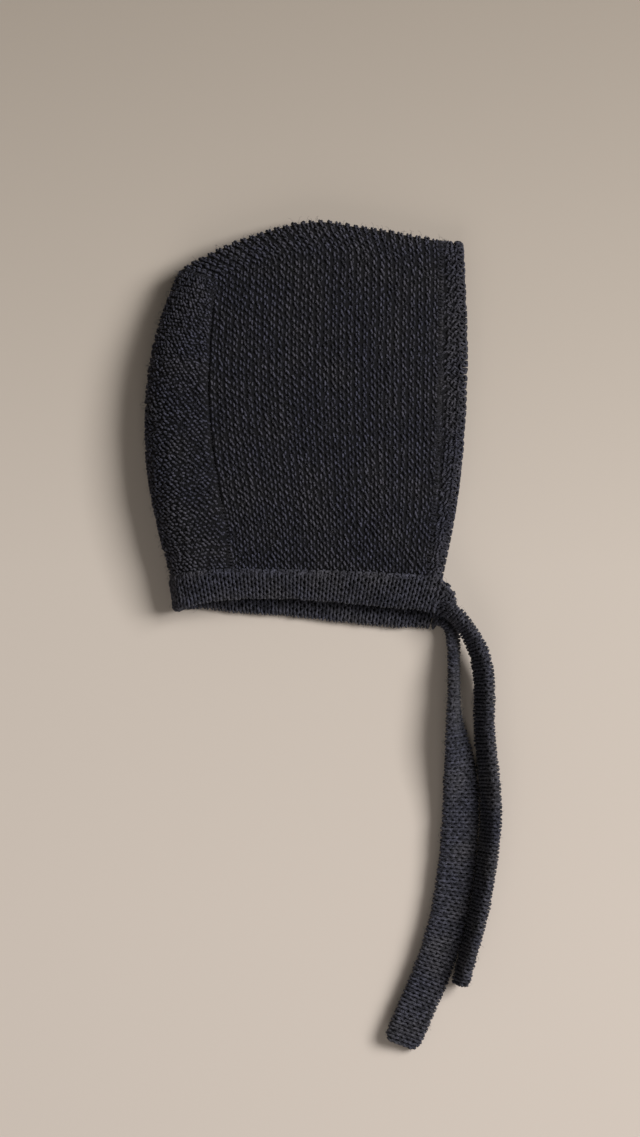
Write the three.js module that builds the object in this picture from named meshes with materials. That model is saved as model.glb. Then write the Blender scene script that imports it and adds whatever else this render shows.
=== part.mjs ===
// A knitted baby bonnet with ties, lying on its side as it does when it is put down empty.
//
// Millimetres, +Z up. X runs from the back of the head (-) to the face opening (+), Y from the neck (-)
// to the crown (+) and Z up from the surface it lies on. The origin is on that surface, under the middle
// of the bonnet without its ties.
//
// The hollow form is one pillow: an upper wall and a lower wall that meet in a rounded fold along the
// crown and down the back of the head. Every piece of it is a patch of that pillow, given a wall.
import * as THREE from 'three';

// ------------------------------------------------------------------------------ driving dimensions
const HOOD_WALL = 2.6; // one layer of garter stitch
const HOOD_SPAN = 100; // about how far it is across the hood, to turn a gap into a share of it
const STRIP_WALL = 4.6; // the doubled hem and neck band
const STRIP_RISE = 1.0; // the hem and the band stand this far proud of the upper wall
const SEAM_GAP = 0.25; // each piece stops this short of a seam that it shares
const SEAM_SLANT = 1.4; // the hood's gap grows by this where its lines meet the back seam on the slant
const ON_FOLD = 0.05; // nearer than this to the fold's chords, a place counts as on the fold
const FOLD_REACH = 1.15; // how far the fold's rounding reaches in, for each mm of its half height
const MOST_BEND = 0.9; // of a line's half, at most, the share that the rounding takes
const SLOPE_STEP = 0.5; // to each side of a place, to find the height's slope
const BAND_WIDTH = 17;
const BAND_SNUG = 0.25; // the share of the band's length, next to the fold, that eases onto it
const TIE_THICKNESS = 4.4;
const TIE_SIDES = 10;
const TIE_SQUARENESS = 0.4; // the power of its rounded section: 1 would be an ellipse, 0 a box

// How finely the solids are cut.
const HOOD_COLUMNS = 20;
const PANEL_ROWS = 18;
const STRIP_COLUMNS = 3;
const UP_STEPS = 16; // from the neck up to the fold of the crown
const OVER_STEPS = 4; // from the panel's seam across to the fold of the back
const BAND_STEPS = 15; // from the face opening back to the fold
const FOLD_STEPS = 5; // round one half of a fold
const TIE_STEP = 6;
const FOLD_CUTS = 40; // in each stretch of the fold, to measure it
const FOLD_CHORDS = 120; // along the whole fold, to find the way to it

// ---------------------------------------------------------------------------------- the form's lines
/** Turns rows of numbers into objects with named columns. */
const table = (columns, rows) => rows.map((row) => (
  Object.fromEntries(columns.map((name, i) => [name, row[i]]))
));

// Outlines and seams, seen from above.
const FOLD = table(['x', 'y'], [
  [70.0, 80.4],
  [60.3, 82.6],
  [43.0, 85.8],
  [22.0, 89.2],
  [7.0, 91.3],
  [-7.4, 89.6],
  [-22.5, 85.2],
  [-36.2, 80.0],
  [-47.6, 74.2],
  [-56.4, 68.8],
  [-61.0, 59.0],
  [-66.4, 44.0],
  [-70.6, 25.0],
  [-72.4, 2.0],
  [-71.0, -25.0],
  [-66.2, -49.0],
  [-61.3, -68.0],
  [-59.4, -84.4],
]);
// Where the hood's groove, the panel's top corner and the band meet the fold.
const FOLD_GROOVE_ROW = 1;
const FOLD_CORNER_ROW = 9;
const FOLD_NECK_ROW = 16;
const BACK_SEAM = table(['x', 'y'], [
  [-33.5, -65.4],
  [-35.3, -48.2],
  [-38.5, -31.1],
  [-41.8, -9.0],
  [-43.4, 14.0],
  [-42.5, 38.0],
  [-40.7, 63.5],
]);
const HEM_GROOVE = table(['x', 'y'], [
  [53.8, -68.3],
  [54.9, -60.0],
  [57.8, -31.0],
  [59.2, 10.8],
  [60.1, 61.0],
  [60.3, 82.6],
]);
const FACE_EDGE = table(['x', 'y'], [
  [59.5, -69.2],
  [62.9, -54.5],
  [66.4, -38.0],
  [69.2, -19.0],
  [71.0, 4.0],
  [71.8, 30.0],
  [71.2, 56.0],
  [70.0, 80.4],
]);
const BAND_TOP = table(['x', 'y'], [
  [-61.3, -68.0],
  [-45.0, -66.0],
  [-33.5, -65.4],
  [-5.0, -65.8],
  [22.0, -66.6],
  [41.0, -67.6],
  [53.8, -68.3],
  [59.5, -69.2],
]);
const BAND_FOOT = table(['x', 'y'], [
  [-59.4, -84.4],
  [-45.0, -80.8],
  [-30.0, -79.2],
  [-5.0, -79.2],
  [22.0, -81.4],
  [41.0, -83.2],
  [55.0, -84.6],
]);

// The lower wall lies flat, so at the neck it reaches further down than the upper wall does, and the
// difference fades out up to the crown.
const NECK_LINE = -66;
const DROOP_FADE = 150;
const DROOP = table(['x', 'down'], [
  [-60, 0.0],
  [-30, 2.8],
  [-5, 4.0],
  [22, 6.2],
  [41, 6.8],
  [60, 6.0],
]);

// How high the upper wall stands, at six places from the back to the face edge.
const HEIGHT_X = [-72, -42, -5, 30, 58, 71];
const HEIGHT = table(['y', 'at'], [
  [-92, [17.0, 13.0, 8.0, 8.5, 10.5, 10.5]],
  [-80, [20.5, 17.5, 13.0, 13.5, 15.0, 15.0]],
  [-66, [24.0, 25.5, 23.5, 21.5, 19.5, 18.5]],
  [-20, [27.0, 30.0, 28.0, 24.0, 19.0, 17.0]],
  [25, [27.0, 30.0, 28.5, 24.5, 19.0, 17.0]],
  [60, [22.0, 25.0, 25.0, 22.0, 16.5, 14.5]],
  [92, [17.0, 18.0, 18.0, 16.5, 13.0, 12.0]],
]);

// The ties' middle lines. `lift` is the clearance under the tape's lowest edge, `tilt` turns the tape
// about its own line, with the edge on its left up when positive as it leaves the bonnet, and `width` is
// less where it gathers.
const TIE_COLUMNS = ['x', 'y', 'lift', 'tilt', 'width'];
const TIE_NEAR = table(TIE_COLUMNS, [
  [57.8, -77.1, 10.3, 20, 16.4],
  [60.4, -77.9, 10.4, 26, 13.8],
  [63.4, -83.0, 10.4, 46, 9.6],
  [69.0, -88.1, 9.0, 62, 9.6],
  [73.5, -94.8, 6.8, 66, 12.4],
  [77.6, -104.0, 4.4, 68, 15.4],
  [79.5, -116.0, 2.2, 69, 17.0],
  [79.6, -132.0, 0.8, 70, 17.0],
  [80.4, -146.0, 0.3, 69, 17.0],
  [81.9, -160.0, 0.3, 68.5, 17.0],
  [82.7, -176.0, 0.3, 69, 17.0],
  [81.4, -192.0, 0.3, 69.5, 17.0],
  [79.1, -208.0, 0.3, 71, 17.0],
  [76.0, -224.0, 0.3, 73, 17.0],
  [72.4, -238.0, 0.3, 75, 16.4],
  [69.9, -247.5, 0.3, 75, 15.6],
  [68.8, -252.6, 0.3, 75, 12.4],
]);
const TIE_FAR = table(TIE_COLUMNS, [
  [57.8, -83.8, 0.3, 0, 16.4],
  [60.2, -84.5, 0.3, -8, 13.6],
  [63.8, -88.0, 0.3, -30, 9.6],
  [65.6, -93.6, 0.3, -64, 9.0],
  [66.0, -101.0, 0.3, -80, 11.6],
  [66.1, -112.0, 0.3, -83, 14.6],
  [66.1, -122.0, 0.3, -83, 15.6],
  [66.3, -132.0, 0.3, -75, 16.2],
  [67.2, -141.0, 0.3, -62, 16.8],
  [68.4, -150.0, 0.3, -47, 17.0],
  [69.1, -160.0, 0.3, -33, 17.0],
  [69.3, -172.0, 0.3, -24, 17.0],
  [68.6, -186.0, 0.3, -20, 17.0],
  [67.2, -201.0, 0.3, -19, 17.0],
  [64.9, -216.0, 0.3, -19, 17.0],
  [61.4, -231.0, 0.3, -19, 17.0],
  [56.4, -246.0, 0.3, -18, 17.0],
  [50.8, -259.0, 0.3, -17, 17.0],
  [46.1, -270.0, 0.3, -16, 17.0],
  [43.4, -276.6, 0.3, -15, 15.8],
  [42.1, -279.8, 0.3, -15, 11.8],
]);

// ------------------------------------------------------------------------------------ plain helpers
const lerp = (a, b, t) => a + (b - a) * t;
const mix = (p, q, t) => ({ x: lerp(p.x, q.x, t), y: lerp(p.y, q.y, t) });

/** A smooth line through a table's x and y, walked by the share of its length. */
function line(rows) {
  const curve = new THREE.SplineCurve(rows.map((row) => new THREE.Vector2(row.x, row.y)));
  return { at: (t) => curve.getPointAt(THREE.MathUtils.clamp(t, 0, 1)), length: curve.getLength(), curve };
}

/** Two lines end to end, walked by the share of their whole length. */
function joined(first, second) {
  const length = first.length + second.length;
  const split = first.length / length;
  const at = (t) => (t < split ? first.at(t / split) : second.at((t - split) / (1 - split)));
  return { at, length, split };
}

/** The Catmull-Rom value between keys, with the ends held. */
function eased(keys, values, key) {
  const last = keys.length - 1;
  const inside = THREE.MathUtils.clamp(key, keys[0], keys[last]);
  const i = Math.min(last - 1, keys.findLastIndex((k) => k <= inside));
  const t = (inside - keys[i]) / (keys[i + 1] - keys[i]);
  const slope = (j) => {
    const lo = Math.max(0, j - 1);
    const hi = Math.min(last, j + 1);
    return (values[hi] - values[lo]) / (keys[hi] - keys[lo]);
  };
  const span = keys[i + 1] - keys[i];
  return THREE.MathUtils.lerp(values[i], values[i + 1], t * t * (3 - 2 * t))
    + span * slope(i) * t * (1 - t) * (1 - t) - span * slope(i + 1) * t * t * (1 - t);
}

// --------------------------------------------------------------------------------------- the pillow
const fold = line(FOLD);
const backSeam = line(BACK_SEAM);
const hemGroove = line(HEM_GROOVE);
const faceEdge = line(FACE_EDGE);
const bandTop = line(BAND_TOP);
const bandFoot = line(BAND_FOOT);

/** The share of a line's length at which one of its coordinates, which only grows or falls, has a value. */
function shareWhere(path, axis, value) {
  let [low, high] = [0, 1];
  const rising = path.at(1)[axis] > path.at(0)[axis];
  for (let i = 0; i < 40; i += 1) {
    const middle = (low + high) / 2;
    if (path.at(middle)[axis] < value === rising) low = middle;
    else high = middle;
  }
  return low;
}

/** The share of the fold's length at which it passes one of its rows. */
function foldShare(row) {
  const lengths = fold.curve.getLengths(FOLD_CUTS * (FOLD.length - 1));
  return lengths[FOLD_CUTS * row] / lengths.at(-1);
}

const FOLD_POINTS = fold.curve.getSpacedPoints(FOLD_CHORDS);

/** How high the upper wall stands over a place, before the fold's rounding. */
function height(x, y) {
  const column = HEIGHT.map((row) => eased(HEIGHT_X, row.at, x));
  return eased(HEIGHT.map((row) => row.y), column, y);
}

/** How far a place is from the folded outline, and the direction straight in from it. */
function fromFold(x, y) {
  let nearest = Infinity;
  let best = null;
  for (let i = 0; i + 1 < FOLD_POINTS.length; i += 1) {
    const [a, b] = [FOLD_POINTS[i], FOLD_POINTS[i + 1]];
    const [dx, dy] = [b.x - a.x, b.y - a.y];
    const size = Math.hypot(dx, dy);
    const along = THREE.MathUtils.clamp(((x - a.x) * dx + (y - a.y) * dy) / (size * size), 0, 1);
    const [px, py] = [x - a.x - along * dx, y - a.y - along * dy];
    const away = Math.hypot(px, py);
    if (away < nearest) {
      nearest = away;
      const inward = (py * dx - px * dy) / size;
      best = inward > ON_FOLD
        ? { reach: away, inX: px / away, inY: py / away }
        : { reach: Math.max(0, inward), inX: -dy / size, inY: dx / size };
    }
  }
  return best;
}

/** The pillow's outer surface and its outward normal. `side` is 1 on the upper wall, -1 on the lower. */
function pillow(place, side) {
  const { x, y } = place;
  const top = height(x, y);
  const slopeX = (height(x + SLOPE_STEP, y) - height(x - SLOPE_STEP, y)) / (2 * SLOPE_STEP);
  const slopeY = (height(x, y + SLOPE_STEP) - height(x, y - SLOPE_STEP)) / (2 * SLOPE_STEP);
  const fold = fromFold(x, y);
  const radius = FOLD_REACH * top / 2;
  const short = Math.max(0, 1 - fold.reach / radius);
  const z = (top / 2) * (1 + side * Math.sqrt(Math.max(0, 1 - short * short)));
  const q = (2 * z) / top - 1;
  const steep = (q * z * 2) / (top * top);
  const normal = new THREE.Vector3(
    -steep * slopeX - (short * fold.inX) / radius,
    -steep * slopeY - (short * fold.inY) / radius,
    (q * 2) / top,
  ).normalize();
  return { point: new THREE.Vector3(x, y, z), normal };
}

/** How far the lower wall has slid towards the neck at a place. */
function droop({ x, y }) {
  const down = eased(DROOP.map((row) => row.x), DROOP.map((row) => row.down), x);
  const left = THREE.MathUtils.clamp(1 - (y - NECK_LINE) / DROOP_FADE, 0, 1);
  return down * left * left;
}

/** A station of a line: its side, and its place, slid down if it is on the lower wall. */
function station(place, side) {
  return { place: side > 0 ? place : { x: place.x, y: place.y - droop(place) }, side };
}

/**
 * The stations of a line that runs over the fold: from its start on the upper wall, round the fold and
 * back along the lower wall. Each is a side and the share of the way to the fold. A line with a corner
 * has a station on it, at the share `knee`.
 */
function stations(length, radius, straightSteps, knee = 0) {
  const half = [];
  const bend = Math.min(MOST_BEND, radius / length);
  const kneeSteps = knee > 0 ? straightSteps - 1 : 0;
  for (let i = 0; i < kneeSteps; i += 1) half.push(knee * (i / kneeSteps));
  for (let i = kneeSteps; i < straightSteps; i += 1) {
    half.push(lerp(knee, 1 - bend, (i - kneeSteps) / (straightSteps - kneeSteps)));
  }
  for (let i = 0; i < FOLD_STEPS; i += 1) {
    half.push(1 - bend * (1 - Math.cos((Math.PI / 2) * (1 - i / FOLD_STEPS))));
  }
  const over = half.map((share) => ({ side: 1, share }));
  const under = half.map((share) => ({ side: -1, share })).reverse();
  return [...over, { side: 1, share: 1 }, ...under];
}

// --------------------------------------------------------------------------------------- the solids
/** A closed mesh from points and triangles, turned so that its faces point out. */
function closedMesh(points, faces) {
  const volume = faces.reduce((sum, [a, b, c]) => {
    const cross = new THREE.Vector3().crossVectors(points[b], points[c]);
    return sum + points[a].dot(cross);
  }, 0);
  const turned = volume < 0 ? faces.map(([a, b, c]) => [a, c, b]) : faces;
  const geometry = new THREE.BufferGeometry();
  geometry.setAttribute('position', new THREE.Float32BufferAttribute(points.flatMap((p) => p.toArray()), 3));
  geometry.setIndex(turned.flat());
  geometry.computeVertexNormals();
  return geometry;
}

/**
 * Gives a grid of pillow places a wall. `rise` lifts the outside on the upper wall and fades to nothing
 * on the lower one, so that every piece lies on the same plane.
 */
function walled(grid, wall, rise) {
  const [rows, columns] = [grid.length, grid[0].length];
  const points = [];
  for (const inner of [false, true]) {
    for (const row of grid) {
      for (const { place, side } of row) {
        const { point, normal } = pillow(place, side);
        const out = (rise * (1 + normal.z)) / 2 - (inner ? wall : 0);
        points.push(point.addScaledVector(normal, out));
      }
    }
  }
  const id = (layer, r, c) => layer * rows * columns + r * columns + c;
  const faces = [];
  const quad = (a, b, c, d) => faces.push([a, b, c], [a, c, d]);
  for (let r = 0; r + 1 < rows; r += 1) {
    for (let c = 0; c + 1 < columns; c += 1) {
      quad(id(0, r, c), id(0, r, c + 1), id(0, r + 1, c + 1), id(0, r + 1, c));
      quad(id(1, r, c), id(1, r + 1, c), id(1, r + 1, c + 1), id(1, r, c + 1));
    }
  }
  for (let r = 0; r + 1 < rows; r += 1) {
    quad(id(0, r, 0), id(0, r + 1, 0), id(1, r + 1, 0), id(1, r, 0));
    quad(id(0, r + 1, columns - 1), id(0, r, columns - 1), id(1, r, columns - 1), id(1, r + 1, columns - 1));
  }
  for (let c = 0; c + 1 < columns; c += 1) {
    quad(id(0, 0, c + 1), id(0, 0, c), id(1, 0, c), id(1, 0, c + 1));
    quad(id(0, rows - 1, c), id(0, rows - 1, c + 1), id(1, rows - 1, c + 1), id(1, rows - 1, c));
  }
  return closedMesh(points, faces);
}

/** A list of evenly spaced shares from `first` to `last`. */
const shares = (steps, first, last) => (
  Array.from({ length: steps + 1 }, (_, i) => lerp(first, last, i / steps))
);

/** The hood: a blend of its four edges, with the ridges of the knitting running up and over the crown. */
function hood() {
  const corner = foldShare(FOLD_CORNER_ROW);
  const [seamTop, foldTop] = [backSeam.at(1), fold.at(corner)];
  const border = {
    at: (t) => mix(seamTop, foldTop, t),
    length: Math.hypot(seamTop.x - foldTop.x, seamTop.y - foldTop.y),
  };
  const back = joined(backSeam, border);
  const crown = (u) => fold.at(lerp(foldShare(FOLD_GROOVE_ROW), corner, u));
  const neckFront = shareWhere(bandTop, 'x', hemGroove.at(0).x);
  const neckBack = shareWhere(bandTop, 'x', backSeam.at(0).x);
  const neck = (u) => bandTop.at(lerp(neckFront, neckBack, u));
  const ends = [hemGroove.at(0), back.at(0), hemGroove.at(1), back.at(1)];
  const blend = (u, w) => {
    const across = mix(hemGroove.at(w), back.at(w), u);
    const up = mix(neck(u), crown(u), w);
    const flat = mix(mix(ends[0], ends[1], u), mix(ends[2], ends[3], u), w);
    return { x: across.x + up.x - flat.x, y: across.y + up.y - flat.y };
  };
  const edge = SEAM_GAP / HOOD_SPAN;
  const columns = shares(HOOD_COLUMNS, edge, 1 - SEAM_SLANT * edge);
  const lengths = columns.map((u) => lerp(hemGroove.length, back.length, u));
  const radii = columns.map((u) => (FOLD_REACH * height(crown(u).x, crown(u).y)) / 2);
  const lines = columns.map((u, i) => {
    const path = stations(lengths[i], radii[i], UP_STEPS, back.split);
    return path.map(({ side, share }) => station(blend(u, Math.max(share, SEAM_GAP / lengths[i])), side));
  });
  return walled(lines, HOOD_WALL, 0);
}

/** The gusset down the back of the head, from seam to seam round the fold. */
function backPanel() {
  const [foldTop, foldNeck] = [foldShare(FOLD_CORNER_ROW), foldShare(FOLD_NECK_ROW)];
  const neckSeam = shareWhere(bandTop, 'x', backSeam.at(0).x);
  const edge = SEAM_GAP / backSeam.length;
  const lines = shares(PANEL_ROWS, edge, 1 - edge).map((b) => {
    const outer = fold.at(lerp(foldNeck, foldTop, b));
    const inner = backSeam.at(b);
    const width = Math.hypot(outer.x - inner.x, outer.y - inner.y);
    const radius = (FOLD_REACH * height(outer.x, outer.y)) / 2;
    return stations(width, radius, OVER_STEPS).map(({ side, share }) => {
      const across = lerp(SEAM_GAP / width, 1, share);
      const place = mix(inner, outer, across);
      const neck = bandTop.at(neckSeam * (1 - across));
      const chord = mix(backSeam.at(0), BAND_TOP[0], across);
      place.y += (neck.y - chord.y) * (1 - b);
      return station(place, side);
    });
  });
  return walled(lines, HOOD_WALL, 0);
}

/** The doubled hem round the face opening. */
function frontHem() {
  const top = hemGroove.at(1);
  const radius = (FOLD_REACH * height(top.x, top.y)) / 2;
  const path = stations(hemGroove.length, radius, UP_STEPS);
  const lines = shares(STRIP_COLUMNS, 0, 1).map((c) => path.map(({ side, share }) => {
    const up = lerp(SEAM_GAP / hemGroove.length, 1, share);
    const [groove, edge] = [hemGroove.at(up), faceEdge.at(up)];
    const width = Math.hypot(edge.x - groove.x, edge.y - groove.y);
    return station(mix(groove, edge, lerp(SEAM_GAP / width, 1, c)), side);
  }));
  return walled(lines, STRIP_WALL, STRIP_RISE);
}

/** The doubled band round the neck, from the face opening round the back and to the opening again. */
function neckBand() {
  const [foldTop, foldFoot] = [bandTop.at(0), bandFoot.at(0)];
  const radius = (FOLD_REACH * height(foldTop.x, (foldTop.y + foldFoot.y) / 2)) / 2;
  const path = stations(bandTop.length, radius, BAND_STEPS);
  const neckShare = foldShare(FOLD_NECK_ROW);
  const lines = shares(STRIP_COLUMNS, SEAM_GAP / BAND_WIDTH, 1).map((c) => {
    const onFold = fold.at(lerp(neckShare, 1, c));
    const chord = mix(foldTop, foldFoot, c);
    return path.map(({ side, share }) => {
      const [top, foot] = [bandTop.at(1 - share), bandFoot.at(1 - share)];
      const near = mix(top, foot, c);
      const snug = THREE.MathUtils.smoothstep(share, 1 - BAND_SNUG, 1);
      near.x += (onFold.x - chord.x) * snug;
      near.y += (onFold.y - chord.y) * snug;
      const curled = station(near, side);
      if (side > 0) return curled;
      const lowerTop = station(top, side).place;
      const flat = mix(lowerTop, { x: foot.x, y: lowerTop.y - BAND_WIDTH }, c);
      return { place: mix(flat, curled.place, snug), side };
    });
  });
  return walled(lines, STRIP_WALL, STRIP_RISE);
}

/** A tie: one tape of rounded section along its table, turned and gathered as the table says. */
function tie(rows) {
  const route = rows.map(({ x, y, lift, tilt, width }) => {
    const turn = THREE.MathUtils.degToRad(tilt);
    const z = lift + (width / 2) * Math.abs(Math.sin(turn)) + (TIE_THICKNESS / 2) * Math.cos(turn);
    return new THREE.Vector3(x, y, z);
  });
  const curve = new THREE.CatmullRomCurve3(route, false, 'centripetal');
  const keys = rows.map((_, i) => i);
  const steps = Math.round(curve.getLength() / TIE_STEP);
  const points = [];
  for (let i = 0; i <= steps; i += 1) {
    const t = curve.getUtoTmapping(i / steps);
    const row = t * (rows.length - 1);
    const centre = curve.getPoint(t);
    const ahead = curve.getTangent(t).setZ(0).normalize();
    const turn = THREE.MathUtils.degToRad(eased(keys, rows.map((r) => r.tilt), row));
    const half = eased(keys, rows.map((r) => r.width), row) / 2;
    const level = new THREE.Vector3(-ahead.y, ahead.x, 0);
    const across = level.clone().multiplyScalar(Math.cos(turn)).setZ(Math.sin(turn));
    const face = level.multiplyScalar(-Math.sin(turn)).setZ(Math.cos(turn));
    for (let k = 0; k < TIE_SIDES; k += 1) {
      const angle = (2 * Math.PI * (k + 0.5)) / TIE_SIDES;
      const [c, s] = [Math.cos(angle), Math.sin(angle)];
      const wide = Math.sign(c) * Math.abs(c) ** TIE_SQUARENESS * half;
      const thick = Math.sign(s) * Math.abs(s) ** TIE_SQUARENESS * (TIE_THICKNESS / 2);
      points.push(centre.clone().addScaledVector(across, wide).addScaledVector(face, thick));
    }
  }
  const faces = [];
  for (let i = 0; i < steps; i += 1) {
    for (let k = 0; k < TIE_SIDES; k += 1) {
      const [a, b] = [i * TIE_SIDES + k, i * TIE_SIDES + ((k + 1) % TIE_SIDES)];
      faces.push([a, b, b + TIE_SIDES], [a, b + TIE_SIDES, a + TIE_SIDES]);
    }
  }
  for (let k = 1; k + 1 < TIE_SIDES; k += 1) {
    const end = steps * TIE_SIDES;
    faces.push([0, k + 1, k], [end, end + k, end + k + 1]);
  }
  return closedMesh(points, faces);
}

/** A named piece in its own wool finish. */
function piece(name, geometry, color, roughness) {
  const mesh = new THREE.Mesh(geometry, new THREE.MeshStandardMaterial({ color, roughness, metalness: 0 }));
  mesh.name = name;
  return mesh;
}

const bonnet = new THREE.Group();
bonnet.add(
  piece('hood', hood(), 0x2b2c31, 0.95),
  piece('back_panel', backPanel(), 0x2a2b30, 0.95),
  piece('front_hem', frontHem(), 0x303137, 0.93),
  piece('neck_band', neckBand(), 0x33353c, 0.92),
  piece('tie_near', tie(TIE_NEAR), 0x34363e, 0.92),
  piece('tie_far', tie(TIE_FAR), 0x34363e, 0.92),
);

export default bonnet;
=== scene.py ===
"""A knitted baby bonnet with ties, lying on its side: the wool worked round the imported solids.

Every length in the tables and in the formulas is in millimetres, in the part's own frame, and becomes
metres when a mesh is made. X runs from the back of the head to the face opening, Y from the neck to the
crown and Z up from the surface it lies on. The near wall is the upper one and the far wall lies below.
"""

import logging
from dataclasses import dataclass, field
from enum import Enum
from typing import Callable

import bpy
import numpy as np
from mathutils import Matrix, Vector


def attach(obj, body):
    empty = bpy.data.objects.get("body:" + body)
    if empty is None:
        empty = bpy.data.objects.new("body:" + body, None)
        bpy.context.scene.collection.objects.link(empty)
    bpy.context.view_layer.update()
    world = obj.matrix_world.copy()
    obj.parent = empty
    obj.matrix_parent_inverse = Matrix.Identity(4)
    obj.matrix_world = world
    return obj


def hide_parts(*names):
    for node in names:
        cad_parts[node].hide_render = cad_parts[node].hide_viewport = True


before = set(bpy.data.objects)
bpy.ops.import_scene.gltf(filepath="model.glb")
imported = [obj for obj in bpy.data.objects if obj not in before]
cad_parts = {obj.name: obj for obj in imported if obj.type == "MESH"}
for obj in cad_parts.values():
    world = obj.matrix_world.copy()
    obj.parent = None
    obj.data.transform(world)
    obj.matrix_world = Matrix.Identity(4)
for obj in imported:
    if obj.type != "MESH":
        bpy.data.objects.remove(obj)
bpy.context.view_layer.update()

Array = np.ndarray
Colour = tuple[float, float, float]
Stops = tuple[tuple[float, Colour], ...]
Rows = list[tuple[float, ...]]
log = logging.getLogger("bonnet")
METRES = 0.001
TURN = 2 * np.pi

# ---------------------------------------------------------------------------------- the form's tables
# The outline over the crown and down the back, and the seams and edges, seen from above: x, y.
FOLD = [
    (70.0, 80.4), (60.3, 82.6), (43.0, 85.8), (22.0, 89.2), (7.0, 91.3), (-7.4, 89.6),
    (-22.5, 85.2), (-36.2, 80.0), (-47.6, 74.2), (-56.4, 68.8), (-61.0, 59.0), (-66.4, 44.0),
    (-70.6, 25.0), (-72.4, 2.0), (-71.0, -25.0), (-66.2, -49.0), (-61.3, -68.0), (-59.4, -84.4),
]  # fmt: skip
FOLD_GROOVE_ROW = 1
FOLD_CORNER_ROW = 9
FOLD_NECK_ROW = 16
BACK_SEAM = [
    (-33.5, -65.4), (-35.3, -48.2), (-38.5, -31.1), (-41.8, -9.0), (-43.4, 14.0), (-42.5, 38.0),
    (-40.7, 63.5),
]  # fmt: skip
HEM_GROOVE = [
    (53.8, -68.3), (54.9, -60.0), (57.8, -31.0), (59.2, 10.8), (60.1, 61.0), (60.3, 82.6),
]  # fmt: skip
FACE_EDGE = [
    (59.5, -69.2), (62.9, -54.5), (66.4, -38.0), (69.2, -19.0), (71.0, 4.0), (71.8, 30.0),
    (71.2, 56.0), (70.0, 80.4),
]  # fmt: skip
BAND_TOP = [
    (-61.3, -68.0), (-45.0, -66.0), (-33.5, -65.4), (-5.0, -65.8), (22.0, -66.6), (41.0, -67.6),
    (53.8, -68.3), (59.5, -69.2),
]  # fmt: skip
BAND_FOOT = [
    (-59.4, -84.4), (-45.0, -80.8), (-30.0, -79.2), (-5.0, -79.2), (22.0, -81.4), (41.0, -83.2),
    (55.0, -84.6),
]  # fmt: skip
# How far the far wall has slid towards the neck: x, down.
DROOP = [(-60, 0.0), (-30, 2.8), (-5, 4.0), (22, 6.2), (41, 6.8), (60, 6.0)]
NECK_LINE = -66
DROOP_FADE = 150
# How high the near wall stands, at six places from the back to the face edge, in rows of y.
HEIGHT_X = [-72, -42, -5, 30, 58, 71]
HEIGHT = {
    -92: [17.0, 13.0, 8.0, 8.5, 10.5, 10.5],
    -80: [20.5, 17.5, 13.0, 13.5, 15.0, 15.0],
    -66: [24.0, 25.5, 23.5, 21.5, 19.5, 18.5],
    -20: [27.0, 30.0, 28.0, 24.0, 19.0, 17.0],
    25: [27.0, 30.0, 28.5, 24.5, 19.0, 17.0],
    60: [22.0, 25.0, 25.0, 22.0, 16.5, 14.5],
    92: [17.0, 18.0, 18.0, 16.5, 13.0, 12.0],
}
# The ties' middle lines: x, y, clearance under the tape, its turn in degrees, its width.
TIE_NEAR = [
    (57.8, -77.1, 10.3, 20, 16.4), (60.4, -77.9, 10.4, 26, 13.8), (63.4, -83.0, 10.4, 46, 9.6),
    (69.0, -88.1, 9.0, 62, 9.6), (73.5, -94.8, 6.8, 66, 12.4), (77.6, -104.0, 4.4, 68, 15.4),
    (79.5, -116.0, 2.2, 69, 17.0), (79.6, -132.0, 0.8, 70, 17.0), (80.4, -146.0, 0.3, 69, 17.0),
    (81.9, -160.0, 0.3, 68.5, 17.0), (82.7, -176.0, 0.3, 69, 17.0), (81.4, -192.0, 0.3, 69.5, 17.0),
    (79.1, -208.0, 0.3, 71, 17.0), (76.0, -224.0, 0.3, 73, 17.0), (72.4, -238.0, 0.3, 75, 16.4),
    (69.9, -247.5, 0.3, 75, 15.6), (68.8, -252.6, 0.3, 75, 12.4),
]  # fmt: skip
TIE_FAR = [
    (57.8, -83.8, 0.3, 0, 16.4), (60.2, -84.5, 0.3, -8, 13.6), (63.8, -88.0, 0.3, -30, 9.6),
    (65.6, -93.6, 0.3, -64, 9.0), (66.0, -101.0, 0.3, -80, 11.6), (66.1, -112.0, 0.3, -83, 14.6),
    (66.1, -122.0, 0.3, -83, 15.6), (66.3, -132.0, 0.3, -75, 16.2), (67.2, -141.0, 0.3, -62, 16.8),
    (68.4, -150.0, 0.3, -47, 17.0), (69.1, -160.0, 0.3, -33, 17.0), (69.3, -172.0, 0.3, -24, 17.0),
    (68.6, -186.0, 0.3, -20, 17.0), (67.2, -201.0, 0.3, -19, 17.0), (64.9, -216.0, 0.3, -19, 17.0),
    (61.4, -231.0, 0.3, -19, 17.0), (56.4, -246.0, 0.3, -18, 17.0), (50.8, -259.0, 0.3, -17, 17.0),
    (46.1, -270.0, 0.3, -16, 17.0), (43.4, -276.6, 0.3, -15, 15.8), (42.1, -279.8, 0.3, -15, 11.8),
]  # fmt: skip

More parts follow.
